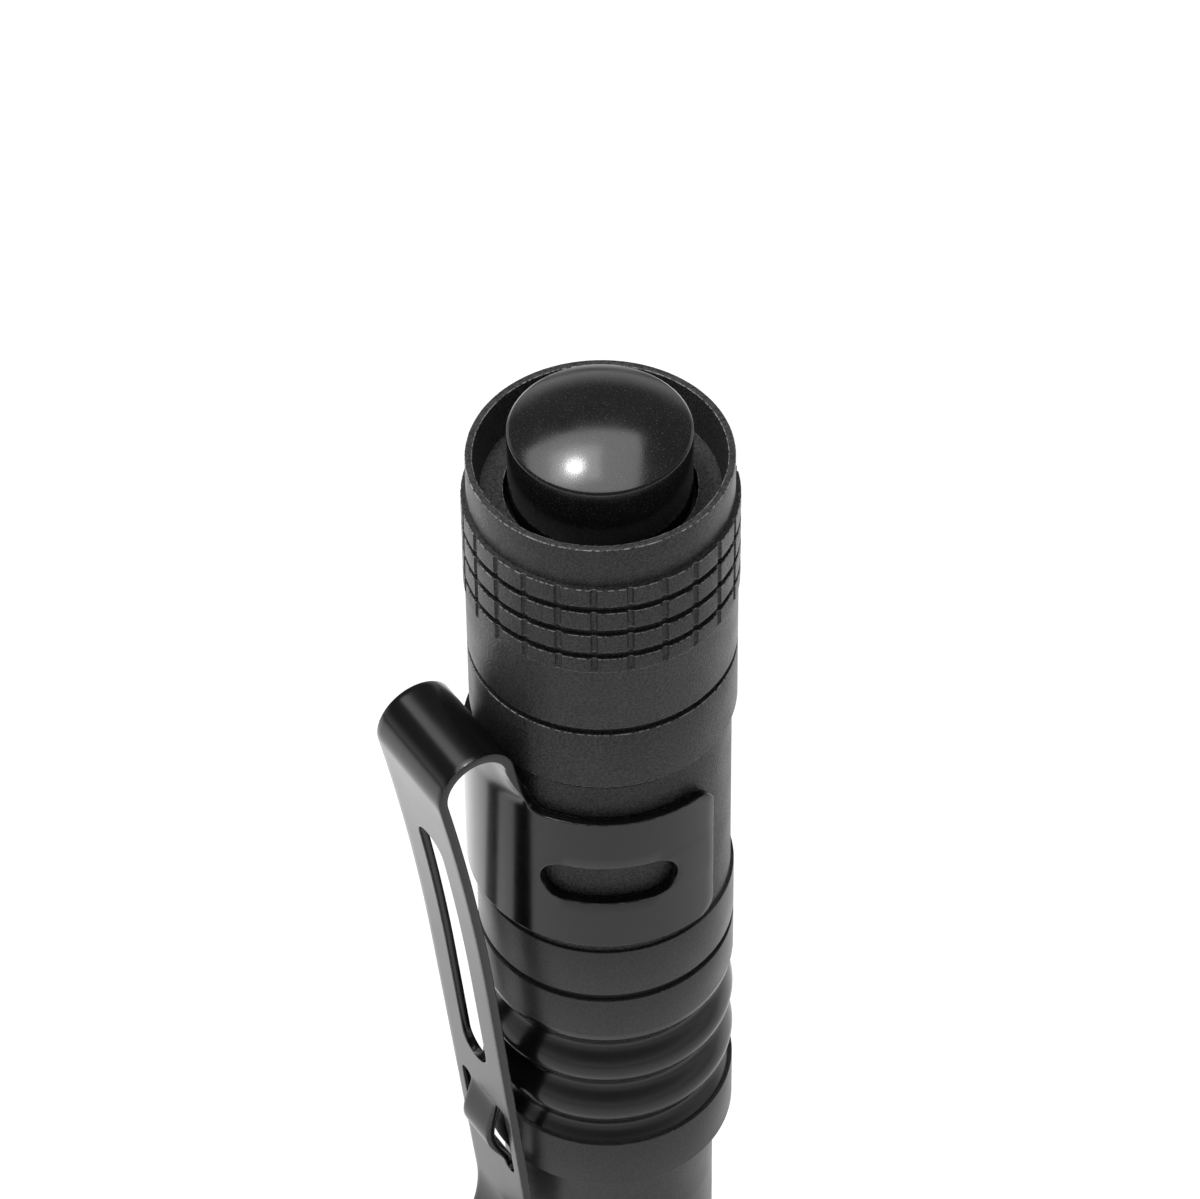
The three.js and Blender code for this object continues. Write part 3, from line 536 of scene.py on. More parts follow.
class Palette(Enum):
    """Every finish on the flashlight."""

    BLASTED = Anodised("anodised_blasted")
    SEAT = Anodised("anodised_seat", wear_share=0.2)
    SMOOTH = Anodised(
        "anodised_turned",
        (0.06, 0.06, 0.061),
        roughness=0.36,
        grain_depth_mm=0.012,
        speckle=0.25,
        wear_share=0.3,
    )
    # Glossier than the rings, and far darker: the dark colour is painted shade for the grooves
    # between the ridges
    SHADED_SCALLOP = Anodised(
        "anodised_scallop_painted_shade",
        (0.01, 0.01, 0.0102),
        roughness=0.24,
        grain_depth_mm=0.002,
        speckle=0.3,
        wear_share=0,
        index=1.6,
    )
    CLIP = CoatedSteel("clip_coating")
    BUTTON = Moulded(
        "button_rubber",
        (0.008, 0.008, 0.0083),
        roughness=0.17,
        skin_depth_mm=0.0015,
        dust=0.1,
        # A painted highlight along the raised edges, the dome's rim among them
        edge=0.07,
        index=1.8,
    )
    SEAL = Moulded("seal_rubber", (0.012, 0.012, 0.012), 0.4)
    BLACK_PLASTIC = Moulded("black_plastic", (0.018, 0.018, 0.02), 0.42)
    WHITE_PLASTIC = Moulded("white_plastic", (0.78, 0.77, 0.74), 0.4)
    RED_WIRE = Moulded("red_wire", (0.4, 0.02, 0.015), 0.4)
    BLACK_WIRE = Moulded("black_wire", (0.012, 0.012, 0.012), 0.4)
    PHOSPHOR = Moulded("phosphor", (0.85, 0.62, 0.1), 0.2)
    SLEEVE = Moulded("cell_sleeve", (0.25, 0.28, 0.32), 0.28)
    BRASS = Turned("brass", (0.62, 0.43, 0.17))
    SPRING = Turned("spring_steel", (0.5, 0.5, 0.52), 0.3)
    MIRROR = Mirror("reflector_mirror")
    GLASS = Glass("lens_glass")
    BOARD = Board("circuit_board")


# Mesh building


def arc(centre: Point, radius: float, start: float, end: float, steps: int) -> list[Point]:
    """Points along a circle's arc, angles in degrees."""
    angles = np.radians(np.linspace(start, end, steps + 1))
    return [(centre[0] + radius * math.cos(a), centre[1] + radius * math.sin(a)) for a in angles]


def groove(outer: float, depth: float, first: float, last: float) -> list[Point]:
    """The corners of a square groove, from one wall to the other."""
    floor = outer - depth
    return [(outer, first), (floor, first), (floor, last), (outer, last)]


@dataclass
class Profile:
    """A turned piece's outline in (radius, height) pairs, in millimetres.

    Args:
        points: The corners in order.
        closed: Whether the last corner joins the first; otherwise both ends are on the axis.
        edge: Radius given to each sharp corner.
        most: The share of a side that a rounded corner may take.
    """

    points: list[Point]
    closed: bool = True
    edge: float = 0.06
    most: float = 0.45

    def softened(self, steps: int = 3) -> tuple[np.ndarray, np.ndarray]:
        """Rounds the corners that are sharper than half the angle of a sharp edge.

        Args:
            steps: Facets round a corner.

        Returns:
            The finer outline and, for each of its points, 1 on a raised corner or 0.
        """
        corners = np.array(self.points)
        before, after = np.roll(corners, 1, 0), np.roll(corners, -1, 0)
        turn_way = np.sum(before[:, 0] * corners[:, 1] - corners[:, 0] * before[:, 1])
        outline: list[np.ndarray] = []
        raised: list[float] = []
        for i, here in enumerate(corners):
            into, out = here - before[i], after[i] - here
            lengths = np.hypot(*into), np.hypot(*out)
            on_axis = not self.closed and i in (0, len(corners) - 1)
            angle = 0.0
            if not on_axis and min(lengths) >= 1e-6:
                into, out = into / lengths[0], out / lengths[1]
                angle = math.atan2(into[0] * out[1] - into[1] * out[0], float(into @ out))
            if abs(angle) < SHARP_ANGLE / 2:
                outline.append(here)
                raised.append(0.0)
                continue
            cut = min(self.edge * math.tan(abs(angle) / 2), self.most * min(lengths))
            start, end = here - cut * into, here + cut * out
            for t in np.linspace(0, 1, steps + 1):
                outline.append((1 - t) ** 2 * start + 2 * t * (1 - t) * here + t**2 * end)
                raised.append(float(0 < t < 1 and angle * turn_way > 0))
        return np.array(outline), np.array(raised)


Shaper = Callable[[np.ndarray, np.ndarray, np.ndarray], np.ndarray]


def grid_mesh(
    name: str, points: np.ndarray, wear_and_highlight: np.ndarray, loop_rows: bool, loop_columns: bool
) -> Obj:
    """An object from a grid of points.

    Args:
        name: The object's name.
        points: Points in millimetres, rows by columns by three.
        wear_and_highlight: Mark of raised corners for each row: their wear, and on the button a
            painted highlight.
        loop_rows: Whether the last row joins the first.
        loop_columns: Whether the last column joins the first.

    Returns:
        The new object, its place in its mesh.
    """
    rows, columns = points.shape[:2]
    index = np.arange(rows * columns).reshape(rows, columns)
    lower = index if loop_rows else index[:-1]
    upper = np.roll(index, -1, 0) if loop_rows else index[1:]
    if loop_columns:
        right_lower, right_upper = np.roll(lower, -1, 1), np.roll(upper, -1, 1)
    else:
        right_lower, right_upper = lower[:, 1:], upper[:, 1:]
        lower, upper = lower[:, :-1], upper[:, :-1]
    faces = np.stack([lower, right_lower, right_upper, upper], -1).reshape(-1, 4)
    mesh = bpy.data.meshes.new(name)
    mesh.from_pydata((points.reshape(-1, 3) * MM).tolist(), [], faces.tolist())
    attribute = mesh.attributes.new(WEAR_AND_HIGHLIGHT, "FLOAT", "POINT")
    attribute.data.foreach_set("value", np.repeat(wear_and_highlight, columns).astype(np.float32))
    return add_object(name, mesh)


def tidy_mesh(obj: Obj) -> Obj:
    """Merges doubles, turns the faces out and shades smoothly between sharp edges.

    Args:
        obj: The object to tidy.

    Returns:
        The same object.
    """
    work = bmesh.new()
    work.from_mesh(obj.data)
    bmesh.ops.remove_doubles(work, verts=work.verts, dist=MERGE_GAP)
    bmesh.ops.dissolve_degenerate(work, edges=work.edges, dist=SLIVER)
    bmesh.ops.recalc_face_normals(work, faces=work.faces)
    work.to_mesh(obj.data)
    work.free()
    obj.data.polygons.foreach_set("use_smooth", [True] * len(obj.data.polygons))
    obj.data.set_sharp_from_angle(angle=SHARP_ANGLE)
    return obj


def baked(obj: Obj, modifier: bpy.types.Modifier) -> Obj:
    """Turns an object's modifier into plain mesh.

    Args:
        obj: The object.
        modifier: Its only modifier.

    Returns:
        The same object, without the modifier.
    """
    depsgraph = bpy.context.evaluated_depsgraph_get()
    whole = bpy.data.meshes.new_from_object(obj.evaluated_get(depsgraph))
    obj.modifiers.remove(modifier)
    obj.data = whole
    return obj


def swept(outline: np.ndarray, angles: np.ndarray, shaper: Optional[Shaper]) -> np.ndarray:
    """The outline turned to each angle.

    Args:
        outline: Radius and height of each point.
        angles: Angles about the axis, in radians.
        shaper: Gives the radius from the radius, the height and the angle, if there is one.

    Returns:
        Points in rows by columns by three.
    """
    radius = np.repeat(outline[:, :1], len(angles), 1)
    height = np.repeat(outline[:, 1:], len(angles), 1)
    angle = np.repeat(angles[None, :], len(outline), 0)
    if shaper is not None:
        radius = shaper(radius, height, angle)
    return np.stack([radius * np.cos(angle), radius * np.sin(angle), height], -1)


def revolve(
    name: str, profile: Profile, sides: int = 160, shaper: Optional[Shaper] = None
) -> Obj:
    """A turned piece about the light's axis.

    Args:
        name: The object's name.
        profile: Its outline.
        sides: Facets round the axis.
        shaper: Gives the radius from the outline's radius, the height and the angle.

    Returns:
        The new object.
    """
    outline, wear_and_highlight = profile.softened()
    angles = np.linspace(0, 2 * math.pi, sides, endpoint=False)
    return tidy_mesh(grid_mesh(name, swept(outline, angles, shaper), wear_and_highlight, profile.closed, True))


def refined(points: Sequence[Point], low: float, high: float, step: float) -> list[Point]:
    """Adds points along the stretches of an outline that lie between two heights.

    Args:
        points: The outline's corners.
        low: The lower height.
        high: The upper height.
        step: The longest stretch that is left whole.

    Returns:
        The finer outline.
    """
    result = [points[0]]
    for before, after in zip(points, points[1:]):
        inside = low < (before[1] + after[1]) / 2 < high
        count = max(1, math.ceil(math.dist(before, after) / step)) if inside else 1
        for i in range(1, count + 1):
            result.append(tuple(a + (b - a) * (i / count) for a, b in zip(before, after)))
    return result


class RadialCopies:
    """A node tree that turns copies of a sector about the axis and joins them."""

    GROUP = "radial_copies"

    def __init__(self) -> None:
        """Makes the tree with its named inputs."""
        self.tree = bpy.data.node_groups.new(self.GROUP, "GeometryNodeTree")
        self._socket("Geometry", "Geometry")
        self.copies = self._socket("Copies", "Int")
        self.finish = self._socket("Finish", "Material")
        self._socket("Geometry", "Geometry", "OUTPUT")
        self._wire()

    def _socket(self, name: str, kind: str, way: str = "INPUT") -> str:
        """Adds one of the tree's own sockets and gives its identifier."""
        kind = "NodeSocket" + kind
        return self.tree.interface.new_socket(name, in_out=way, socket_type=kind).identifier

    def _wire(self) -> None:
        """Joins the nodes: points, a turned copy on each, one merged mesh and its finish."""
        nodes = Nodes(self.tree)
        source = nodes.add("NodeGroupInput").outputs
        index = nodes.add("GeometryNodeInputIndex").outputs[0]
        step = nodes.calc("DIVIDE", 2 * math.pi, source["Copies"])
        spin = nodes.add("ShaderNodeCombineXYZ", Z=nodes.calc("MULTIPLY", index, step))
        points = nodes.add("GeometryNodePoints", Count=source["Copies"])
        placed = nodes.add(
            "GeometryNodeInstanceOnPoints",
            Points=points.outputs[0],
            Instance=source["Geometry"],
            Rotation=spin.outputs[0],
        )
        whole = nodes.add("GeometryNodeRealizeInstances", Geometry=placed.outputs[0]).outputs[0]
        merged = nodes.add("GeometryNodeMergeByDistance", Geometry=whole, Distance=MERGE_GAP)
        finish = source["Finish"]
        painted = nodes.add("GeometryNodeSetMaterial", Geometry=merged.outputs[0], Material=finish)
        nodes.add("NodeGroupOutput", Geometry=painted.outputs[0])

    def apply(self, sector: Obj, copies: int, finish: bpy.types.Material) -> Obj:
        """Turns a sector into the whole piece, as a plain mesh.

        Args:
            sector: One sector about the axis.
            copies: How many sectors make the whole.
            finish: The material of the result.

        Returns:
            The same object, with the whole mesh.
        """
        modifier = sector.modifiers.new(self.GROUP, "NODES")
        modifier.node_group = self.tree
        modifier[self.copies] = copies
        modifier[self.finish] = finish
        return baked(sector, modifier)


@dataclass
class Piece:
    """A finished object and where it belongs."""

    obj: Obj
    body: str
    slot: str
    nodes: tuple[str, ...]
    finish: Optional[Finish] = None

    def settle(self) -> None:
        """Paints the object and ties it to the frame."""
        if self.finish is not None:
            self.finish.coat(self.obj.data)
        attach(self.obj, self.body)
        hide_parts(*self.nodes)


@dataclass
class SubAssembly(ABC):
    """A group of pieces that is built, then dressed."""

    pieces: list[Piece] = field(default_factory=list, init=False)

    @abstractmethod
    def build(self) -> None:
        """Makes the pieces' meshes."""

    def dress(self) -> None:
        """Paints the pieces and ties them to the frame."""
        for piece in self.pieces:
            piece.settle()
            LOG.info("%s: %s on %s", type(self).__name__, piece.obj.name, piece.body)


# Sub-assemblies


@dataclass
class TailCap(SubAssembly):
    """The knurled cap and its button."""

    knurl_columns: int = 24
    knurl_turn: float = 2.1
    knurl_rows: int = 4
    knurl_top: float = 2.6
    knurl_pitch: float = 1.67
    knurl_end: float = 8.6
    knurl_proud: float = 0.09
    knurl_edge: float = 0.05
    groove_width: float = 0.45
    groove_depth: float = 0.3
    slot_width: float = 0.38
    slot_depth: float = 0.14
    slot_overrun: float = 0.1
    slot_fade: float = 0.25
    slot_columns: tuple[float, ...] = (0, 0.5, 0.78, 0.93, 1.0, 1.08)
    side_start: float = 1.5
    side_columns: int = 4
    fine_step: float = 0.25
    fine_margin: float = 0.4
    slack: float = 0.01
    lower_groove: float = 13.18
    rim_step: float = 0.19
    rim_wall: float = 0.38
    recess_depth: float = 2.3
    recess_taper: float = 0.32
    floor: float = 1.0
    end_chamfer: float = 0.25
    bore_step: float = 0.15
    button_play: float = 0.24
    button_proud: float = 1.85
    button_edge: float = 0.12
    button_wall: float = 0.9
    button_roof: float = 1.6
    dome_steps: int = 28

    def __post_init__(self) -> None:
        """Takes the sizes that the CAD gives."""
        self.rim = top_of("tail_cap")
        self.end = bottom_of("tail_cap")
        self.knurl_radius = radius_of("tail_cap")
        self.radius = self.knurl_radius - self.knurl_proud
        self.button_radius = radius_of("push_button")

    def build(self) -> None:
        """Makes the cap from turned copies of one knurled sector, and the button."""
        self.pieces = [
            Piece(self._cap(), "cap", "anodised_aluminium", ("tail_cap",)),
            Piece(self._button(), "button", "button_rubber", ("push_button",), Palette.BUTTON.value),
        ]

    def _outline(self) -> list[Point]:
        """The cap's outline, from its bore's end up the outside and back down the inside.

        Returns:
            The corners in order.
        """
        rim_radius = self.radius - self.rim_step
        rim_inner = rim_radius - self.rim_wall
        floor_top = self.rim - self.recess_depth
        module = radius_of("switch_retaining_ring") + self.bore_step
        ring_end = bottom_of("switch_retaining_ring") - self.bore_step
        bore = radius_of("tail_seal_ring") + self.bore_step / 2
        hole = self.button_radius + self.button_play
        lower = self.rim - self.lower_groove - self.groove_width / 2
        points = [
            (bore, self.end),
            (self.radius - self.end_chamfer, self.end),
            (self.radius, self.end + self.end_chamfer),
            *groove(self.radius, self.groove_depth, lower, lower + self.groove_width),
            (self.radius, self.rim - self.knurl_end - self.knurl_proud),
            (self.knurl_radius, self.rim - self.knurl_end),
        ]
        for row in reversed(range(self.knurl_rows)):
            low = self.rim - self.knurl_top - row * self.knurl_pitch
            points += groove(self.knurl_radius, self.groove_depth, low, low + self.groove_width)
        _, rim_foot = points.pop()
        return points + [
            (rim_radius, rim_foot),
            (rim_radius, self.rim),
            (rim_inner, self.rim),
            (rim_inner - self.recess_taper, floor_top),
            (hole, floor_top),
            (hole, floor_top - self.floor),
            (module, floor_top - self.floor),
            (module, ring_end),
            (bore, ring_end - self.bore_step),
        ]

    def _slot_cut(self, radius: np.ndarray, height: np.ndarray, angle: np.ndarray) -> np.ndarray:
        """The radius with the upright slot of a knurl's column cut in.

        Args:
            radius: The outline's radius.
            height: The height.
            angle: The angle about the axis, in radians.

        Returns:
            The radius after the cut.
        """
        across = np.abs(angle - math.pi) * self.knurl_radius
        drop = self.rim - height
        end = self.knurl_end + self.slot_overrun
        shape = np.clip(1 - (across / (self.slot_width / 2)) ** 4, 0, 1)
        along = np.clip((end - drop) / self.slot_fade, 0, 1)
        in_rows = (drop > self.knurl_top - self.slack) & (drop < end)
        floor = self.knurl_radius - self.slot_depth * shape * along
        cut = in_rows & (radius > self.radius - self.knurl_edge)
        return np.where(cut, np.minimum(radius, floor), radius)

    def _cap(self) -> Obj:
        """The cap: one sector, fine near its slot, copied round the axis.

        Returns:
            The new object.
        """
        low = self.rim - self.knurl_end - self.fine_margin
        high = self.rim - self.knurl_top + self.slack
        fine = refined(self._outline(), low, high, self.fine_step)
        outline, wear_and_highlight = Profile(fine, edge=self.knurl_edge).softened()
        half = math.pi / self.knurl_columns
        edge = self.slot_width / (2 * self.knurl_radius)
        near_slot = edge * np.array(self.slot_columns)
        beside = np.linspace(edge * self.side_start, half, self.side_columns)
        side = np.concatenate([near_slot, beside])
        angles = math.pi + np.concatenate([-side[:0:-1], side])
        points = swept(outline, angles, self._slot_cut)
        sector = grid_mesh("tail_cap_body", points, wear_and_highlight, True, False)
        sector.data.transform(Matrix.Rotation(half + math.radians(self.knurl_turn), 4, "Z"))
        RadialCopies().apply(sector, self.knurl_columns, Palette.BLASTED.value.material)
        return tidy_mesh(sector)

    def _button(self) -> Obj:
        """The button: a skirt, a wall and a shallow dome.

        Returns:
            The new object.
        """
        edge_height = self.rim + self.button_proud
        crown = top_of("push_button") - edge_height
        span = self.button_radius - self.button_edge
        dome = (span**2 + crown**2) / (2 * crown)
        reach = math.degrees(math.asin(span / dome))
        roof = edge_height - self.button_roof
        inner = self.button_radius - self.button_wall
        skirt = bottom_of("push_button")
        points = [
            (0, roof),
            (inner, roof),
            (inner, skirt),
            (self.button_radius, skirt),
            (self.button_radius, edge_height - self.button_edge),
            *arc((0, edge_height + crown - dome), dome, 90 - reach, 90, self.dome_steps),
        ]
        return revolve("button_dome", Profile(points, closed=False))


@dataclass
class Barrel(SubAssembly):
    """The threaded tail spigot, the clip's seat, rings, scallops, foot band and plain tube."""

    sides: int = 200
    edge: float = 0.07
    bore: float = 5.4
    thread_radius: float = 6.15
    thread_depth: float = 0.11
    thread_pitch: float = 0.75
    thread_chamfer: float = 0.3
    thread_lead: float = 0.3
    thread_fade: float = 0.4
    thread_steep: float = 1.6
    thread_flat: float = 0.3
    thread_wall: float = 0.3
    thread_step: float = 0.06
    seal_land: float = 0.4
    seal_height: float = 0.8
    seal_depth: float = 0.35
    seat_gap: float = 0.12
    seat_length: float = 12.94
    ring_step: float = 0.19
    upper_ring: float = 3.51
    ring_groove: float = 0.5
    ring_groove_depth: float = 0.3
    lower_ring: float = 2.86
    lower_chamfer: float = 0.45
    scallop_length: float = 9.0
    scallop_pitch: float = 3.4
    scallop_valley: float = 1.25
    scallop_depth: float = 0.75
    scallop_blunt: float = 0.4
    scallop_rows: int = 91
    foot_band: float = 3.8
    foot_chamfer: float = 0.35
    tube_wall: float = 0.51

    def __post_init__(self) -> None:
        """Works out the heights from the CAD and the sizes."""
        self.top = top_of("barrel")
        self.front = bottom_of("barrel")
        self.ring = radius_of("barrel")
        self.seat = self.ring - self.ring_step
        self.shoulder = bottom_of("tail_cap") - self.seat_gap
        self.seal_low = self.shoulder + self.seal_land
        self.seal_high = self.seal_low + self.seal_height
        self.upper_top = self.shoulder - self.seat_length
        self.upper_end = self.upper_top - self.upper_ring
        self.lower_top = self.upper_end - self.ring_groove
        self.lower_end = self.lower_top - self.lower_ring
        self.scallop_top = self.lower_end - self.lower_chamfer
        self.foot_top = self.scallop_top - self.scallop_length
        self.foot_end = self.foot_top - self.foot_band

    def build(self) -> None:
        """Makes the barrel, with its own finish on the seat and, on the scallops, a darker one that
        is painted shade.
        """
        profile = Profile(self._outline(), edge=self.edge)
        body = revolve("barrel_body", profile, self.sides, self._thread)
        stretches = (
            (Palette.SMOOTH, -math.inf, math.inf),
            (Palette.SEAT, self.upper_top, self.shoulder),
            (Palette.SHADED_SCALLOP, self.foot_top, self.lower_end),
        )
        for index, (finish, low, high) in enumerate(stretches):
            body.data.materials.append(finish.value.material)
            for face in body.data.polygons:
                if low < face.center.z / MM < high:
                    face.material_index = index
        self.pieces = [Piece(body, "light_body", "anodised_aluminium", ("barrel",))]

    def _grip(self) -> list[Point]:
        """The scallops' outline: rounded ridges that meet in narrow valleys.

        Returns:
            Its points, from tail to head.
        """
        valley, blunt = self.scallop_valley, self.scallop_blunt
        valleys = np.arange(valley, self.scallop_length, self.scallop_pitch)
        even = np.linspace(0, self.scallop_length, self.scallop_rows)
        drops = np.unique(np.concatenate([even, valleys]))
        swing = np.hypot(np.sin(math.pi * (drops - valley) / self.scallop_pitch), blunt)
        crest = math.hypot(1, blunt)
        radii = self.ring - self.scallop_depth * (crest - swing) / (crest - blunt)
        return [(float(r), float(self.scallop_top - d)) for r, d in zip(radii, drops)]

    def _outline(self) -> list[Point]:
        """The barrel's outline, from its tail down the outside to its front.

        Returns:
            The corners in order.
        """
        tube = self.bore + self.tube_wall
        spigot = [
            (self.thread_radius - self.thread_chamfer, self.top),
            (self.thread_radius, self.top - self.thread_chamfer),
            (self.thread_radius, self.seal_high),
        ]
        seal = groove(self.thread_radius, self.seal_depth, self.seal_high, self.seal_low)
        return [
            (self.bore, self.top),
            *refined(spigot, self.seal_high, self.top, self.thread_step),
            *seal[1:],
            (self.thread_radius, self.shoulder),
            (self.seat, self.shoulder),
            (self.seat, self.upper_top),
            (self.ring, self.upper_top),
            *groove(self.ring, self.ring_groove_depth, self.upper_end, self.lower_top),
            (self.ring, self.lower_end),
            *self._grip(),
            (self.ring, self.foot_top),
            (self.ring, self.foot_end + self.foot_chamfer),
            (self.ring - self.foot_chamfer, self.foot_end),
            (tube, self.foot_end),
            (tube, self.front),
            (self.bore, self.front),
        ]

    def _thread(self, radius: np.ndarray, height: np.ndarray, angle: np.ndarray) -> np.ndarray:
        """The radius with the thread's helical groove cut into the spigot.

        Args:
            radius: The outline's radius.
            height: The height.
            angle: The angle about the axis, in radians.

        Returns:
            The radius after the cut.
        """
        start = self.seal_high + self.thread_lead
        phase = (height / self.thread_pitch - angle / (2 * math.pi)) % 1
        ridge = np.clip(np.abs(2 * phase - 1) * self.thread_steep - self.thread_flat, 0, 1)
        fade = np.clip((height - start) / self.thread_fade, 0, 1)
        on_thread = (height > start) & (radius > self.bore + self.thread_wall)
        return np.where(on_thread, radius - self.thread_depth * fade * (1 - ridge), radius)


@dataclass
class PocketClip(SubAssembly):
    """One stamped strip, bent: a slotted band round the seat, a neck, a U bend and a sprung arm."""

    thickness: float = 0.5
    edge: float = 0.09
    edge_angle: float = 60.0
    merge_gap: float = 0.002
    sliver: float = 0.001
    play: float = 0.2
    drop: float = 2.3
    band_height: float = 9.6
    band_corner: float = 1.0
    wrap: float = 216.0
    window_start: float = 30.5
    window_end: float = 89.0
    window_height: float = 2.8
    window_clear: float = 0.05
    neck_width: float = 6.25
    neck_fillet: float = 0.7
    neck_ease: float = 1.0
    neck_rise: float = 2.6
    neck_gap: float = 0.15
    bend_radius: float = 2.31
    arm_length: float = 38.6
    arm_bow: float = 5.5
    bow_length: float = 17.0
    arm_gap: float = 0.15
    lean_rounds: int = 4
    tip_width: float = 5.6
    tip_corner: float = 1.6
    tip_length: float = 6.0
    tip_flare: float = 45.0
    slot_start: float = 5.1
    slot_length: float = 20.2
    slot_width: float = 2.4
    loop_start: float = 28.2
    loop_length: float = 5.9
    loop_rise: float = 0.85
    loop_rail: float = 0.57
    loop_slit: float = 0.98
    loop_round: float = 1.5
    slit_limit: float = 0.75
    band_slit_limit: float = 0.6
    bend_margin: float = 1.0
    bend_row: float = 0.25
    arm_row: float = 0.7
    tip_row: float = 0.3
    fillet_rows: int = 7
    loop_rows: int = 26
    slit_end_rows: int = 4
    tip_end_rows: int = 9
    corner_rows: int = 6
    window_rows: int = 17
    band_rows: int = 4
    inner_columns: int = 5
    outer_columns: int = 4
    rib_columns: int = 3
    window_columns: int = 12
    side_columns: int = 6

    def __post_init__(self) -> None:
        """Works out the strip's bends and the places along it."""
        barrel = Barrel()
        cap = TailCap()
        self.band_radius = barrel.seat + self.play
        self.band_bottom = cap.end - self.drop - self.band_height
        neck_out = cap.radius + self.neck_gap - self.band_radius
        lean = math.atan(neck_out / (self.drop - self.neck_ease / 2))
        bow = math.radians(self.arm_bow)
        reach = (self.neck_ease / 2 + self.neck_rise) * math.sin(lean)
        start = self.band_radius + reach + self.bend_radius * (1 + math.cos(lean))
        at_foot = barrel.ring + self.arm_gap + self.thickness
        neck_top = cap.end - self.drop + self.neck_ease + self.neck_rise
        # The arm's lean and its run down to the foot band depend on each other
        arm_lean = 0.0
        for _ in range(self.lean_rounds):
            bend_drop = self.bend_radius * (math.sin(lean) + math.sin(arm_lean))
            arm_run = neck_top - bend_drop - barrel.foot_end
            bowed = bow * (1 - self.bow_length / (2 * arm_run))
            arm_lean = math.atan((start - at_foot) / arm_run) + bowed
        turn = math.pi + arm_lean - lean
        self.arcs = [
            (self.band_height, 0.0),
            (self.neck_ease, lean),
            (self.neck_rise, 0.0),
            (self.bend_radius * turn, turn),
            (self.bow_length, -bow),
            (self.arm_length - self.bow_length, 0.0),
            (self.tip_length, -math.radians(self.tip_flare)),
        ]
        self.arm_start = sum(length for length, _ in self.arcs[:4])
        self.end = self.arm_start + self.arm_length + self.tip_length
        self.tip_start = self.end - self.tip_corner
        self.slot = self.arm_start + self.slot_start
        self.loop = self.arm_start + self.loop_start
        loop_half = self.tip_width / 2 - self.loop_rail - self.loop_slit
        self.slit_centre = loop_half + self.loop_slit / 2

    def build(self) -> None:
        """Draws the flat blank, rounds its cut edges very slightly and bends it."""
        plate = self._plate()
        bevel = plate.modifiers.new("cut_edge", "BEVEL")
        bevel.width = self.edge
        bevel.segments = 2
        bevel.limit_method = "ANGLE"
        bevel.angle_limit = math.radians(self.edge_angle)
        baked(plate, bevel)
        flat = np.empty(3 * len(plate.data.vertices))
        plate.data.vertices.foreach_get("co", flat)
        bent = self._bend(flat.reshape(-1, 3))
        plate.data.vertices.foreach_set("co", (bent * MM).ravel())
        plate.data.update()
        tidy_mesh(plate)
        self.pieces = [Piece(plate, "clip", "clip_steel", ("pocket_clip",), Palette.CLIP.value)]

    def _half_width(self, y: np.ndarray) -> np.ndarray:
        """Half the strip's width above the band, with its fillets and rounded tip.

        Args:
            y: Places along the strip.

        Returns:
            Half the width at each place.
        """
        neck, tip = self.neck_width / 2, self.tip_width / 2
        share = np.clip((y - self.arm_start) / (self.tip_start - self.arm_start), 0, 1)
        rise = np.clip((y - self.band_height) / self.neck_fillet, 0, 1)
        into = np.clip((y - self.tip_start) / self.tip_corner, 0, 1)
        width = neck + (tip - neck) * share
        width = width + self.neck_fillet * (1 - np.sqrt(1 - (1 - rise) ** 2))
        return width - self.tip_corner * (1 - np.sqrt(1 - into**2))

    @staticmethod
    def _hole_half(y: np.ndarray, start: float, length: float, width: float) -> np.ndarray:
        """Half of a round-ended hole's width.

        Args:
            y: Places along the strip.
            start: Where the hole starts.
            length: Its length.
            width: Its width.

        Returns:
            Half the width at each place, 0 outside the hole.
        """
        half = width / 2
        depth = np.minimum(y - start, start + length - y)
        inside = np.clip(depth / half, 0, 1)
        return half * np.sqrt(np.clip(1 - (1 - inside) ** 2, 0, 1))

    @staticmethod
    def _round_rows(start: float, length: float, steps: int = 7) -> np.ndarray:
        """Rows that crowd towards the start of a rounding."""
        return start + length * (1 - np.cos(np.linspace(0, math.pi / 2, steps + 1)))

    def _arm_rows(self) -> np.ndarray:
        """Rows along the strip above its band, crowded at every rounding.

        Returns:
            Places along the strip, in order.
        """
        half, slit = self.slot_width / 2, self.loop_slit / 2
        slot_end, loop_end = self.slot + self.slot_length, self.loop + self.loop_length
        slot_round = self._round_rows(self.slot, half)
        loop_round = self._round_rows(self.loop, slit, self.slit_end_rows)
        tip_round = self._round_rows(self.end, self.tip_corner, self.tip_end_rows)
        fillet = self.band_height + self.neck_fillet
        plain = self.arm_start + self.bend_margin
        flare = self.tip_start - self.tip_length
        pieces = [
            np.linspace(self.band_height, fillet, self.fillet_rows),
            np.arange(fillet, plain, self.bend_row),
            np.arange(plain, flare, self.arm_row),
            slot_round,
            slot_end - (slot_round - self.slot),
            loop_round,
            loop_end - (loop_round - self.loop),
            np.linspace(self.loop + slit, loop_end - slit, self.loop_rows),
            np.arange(flare, self.tip_start, self.tip_row),
            self.end - (tip_round - self.end),
        ]
        rows = np.unique(np.round(np.concatenate(pieces), 6))
        return rows[np.concatenate([[True], np.diff(rows) > 1e-3])]

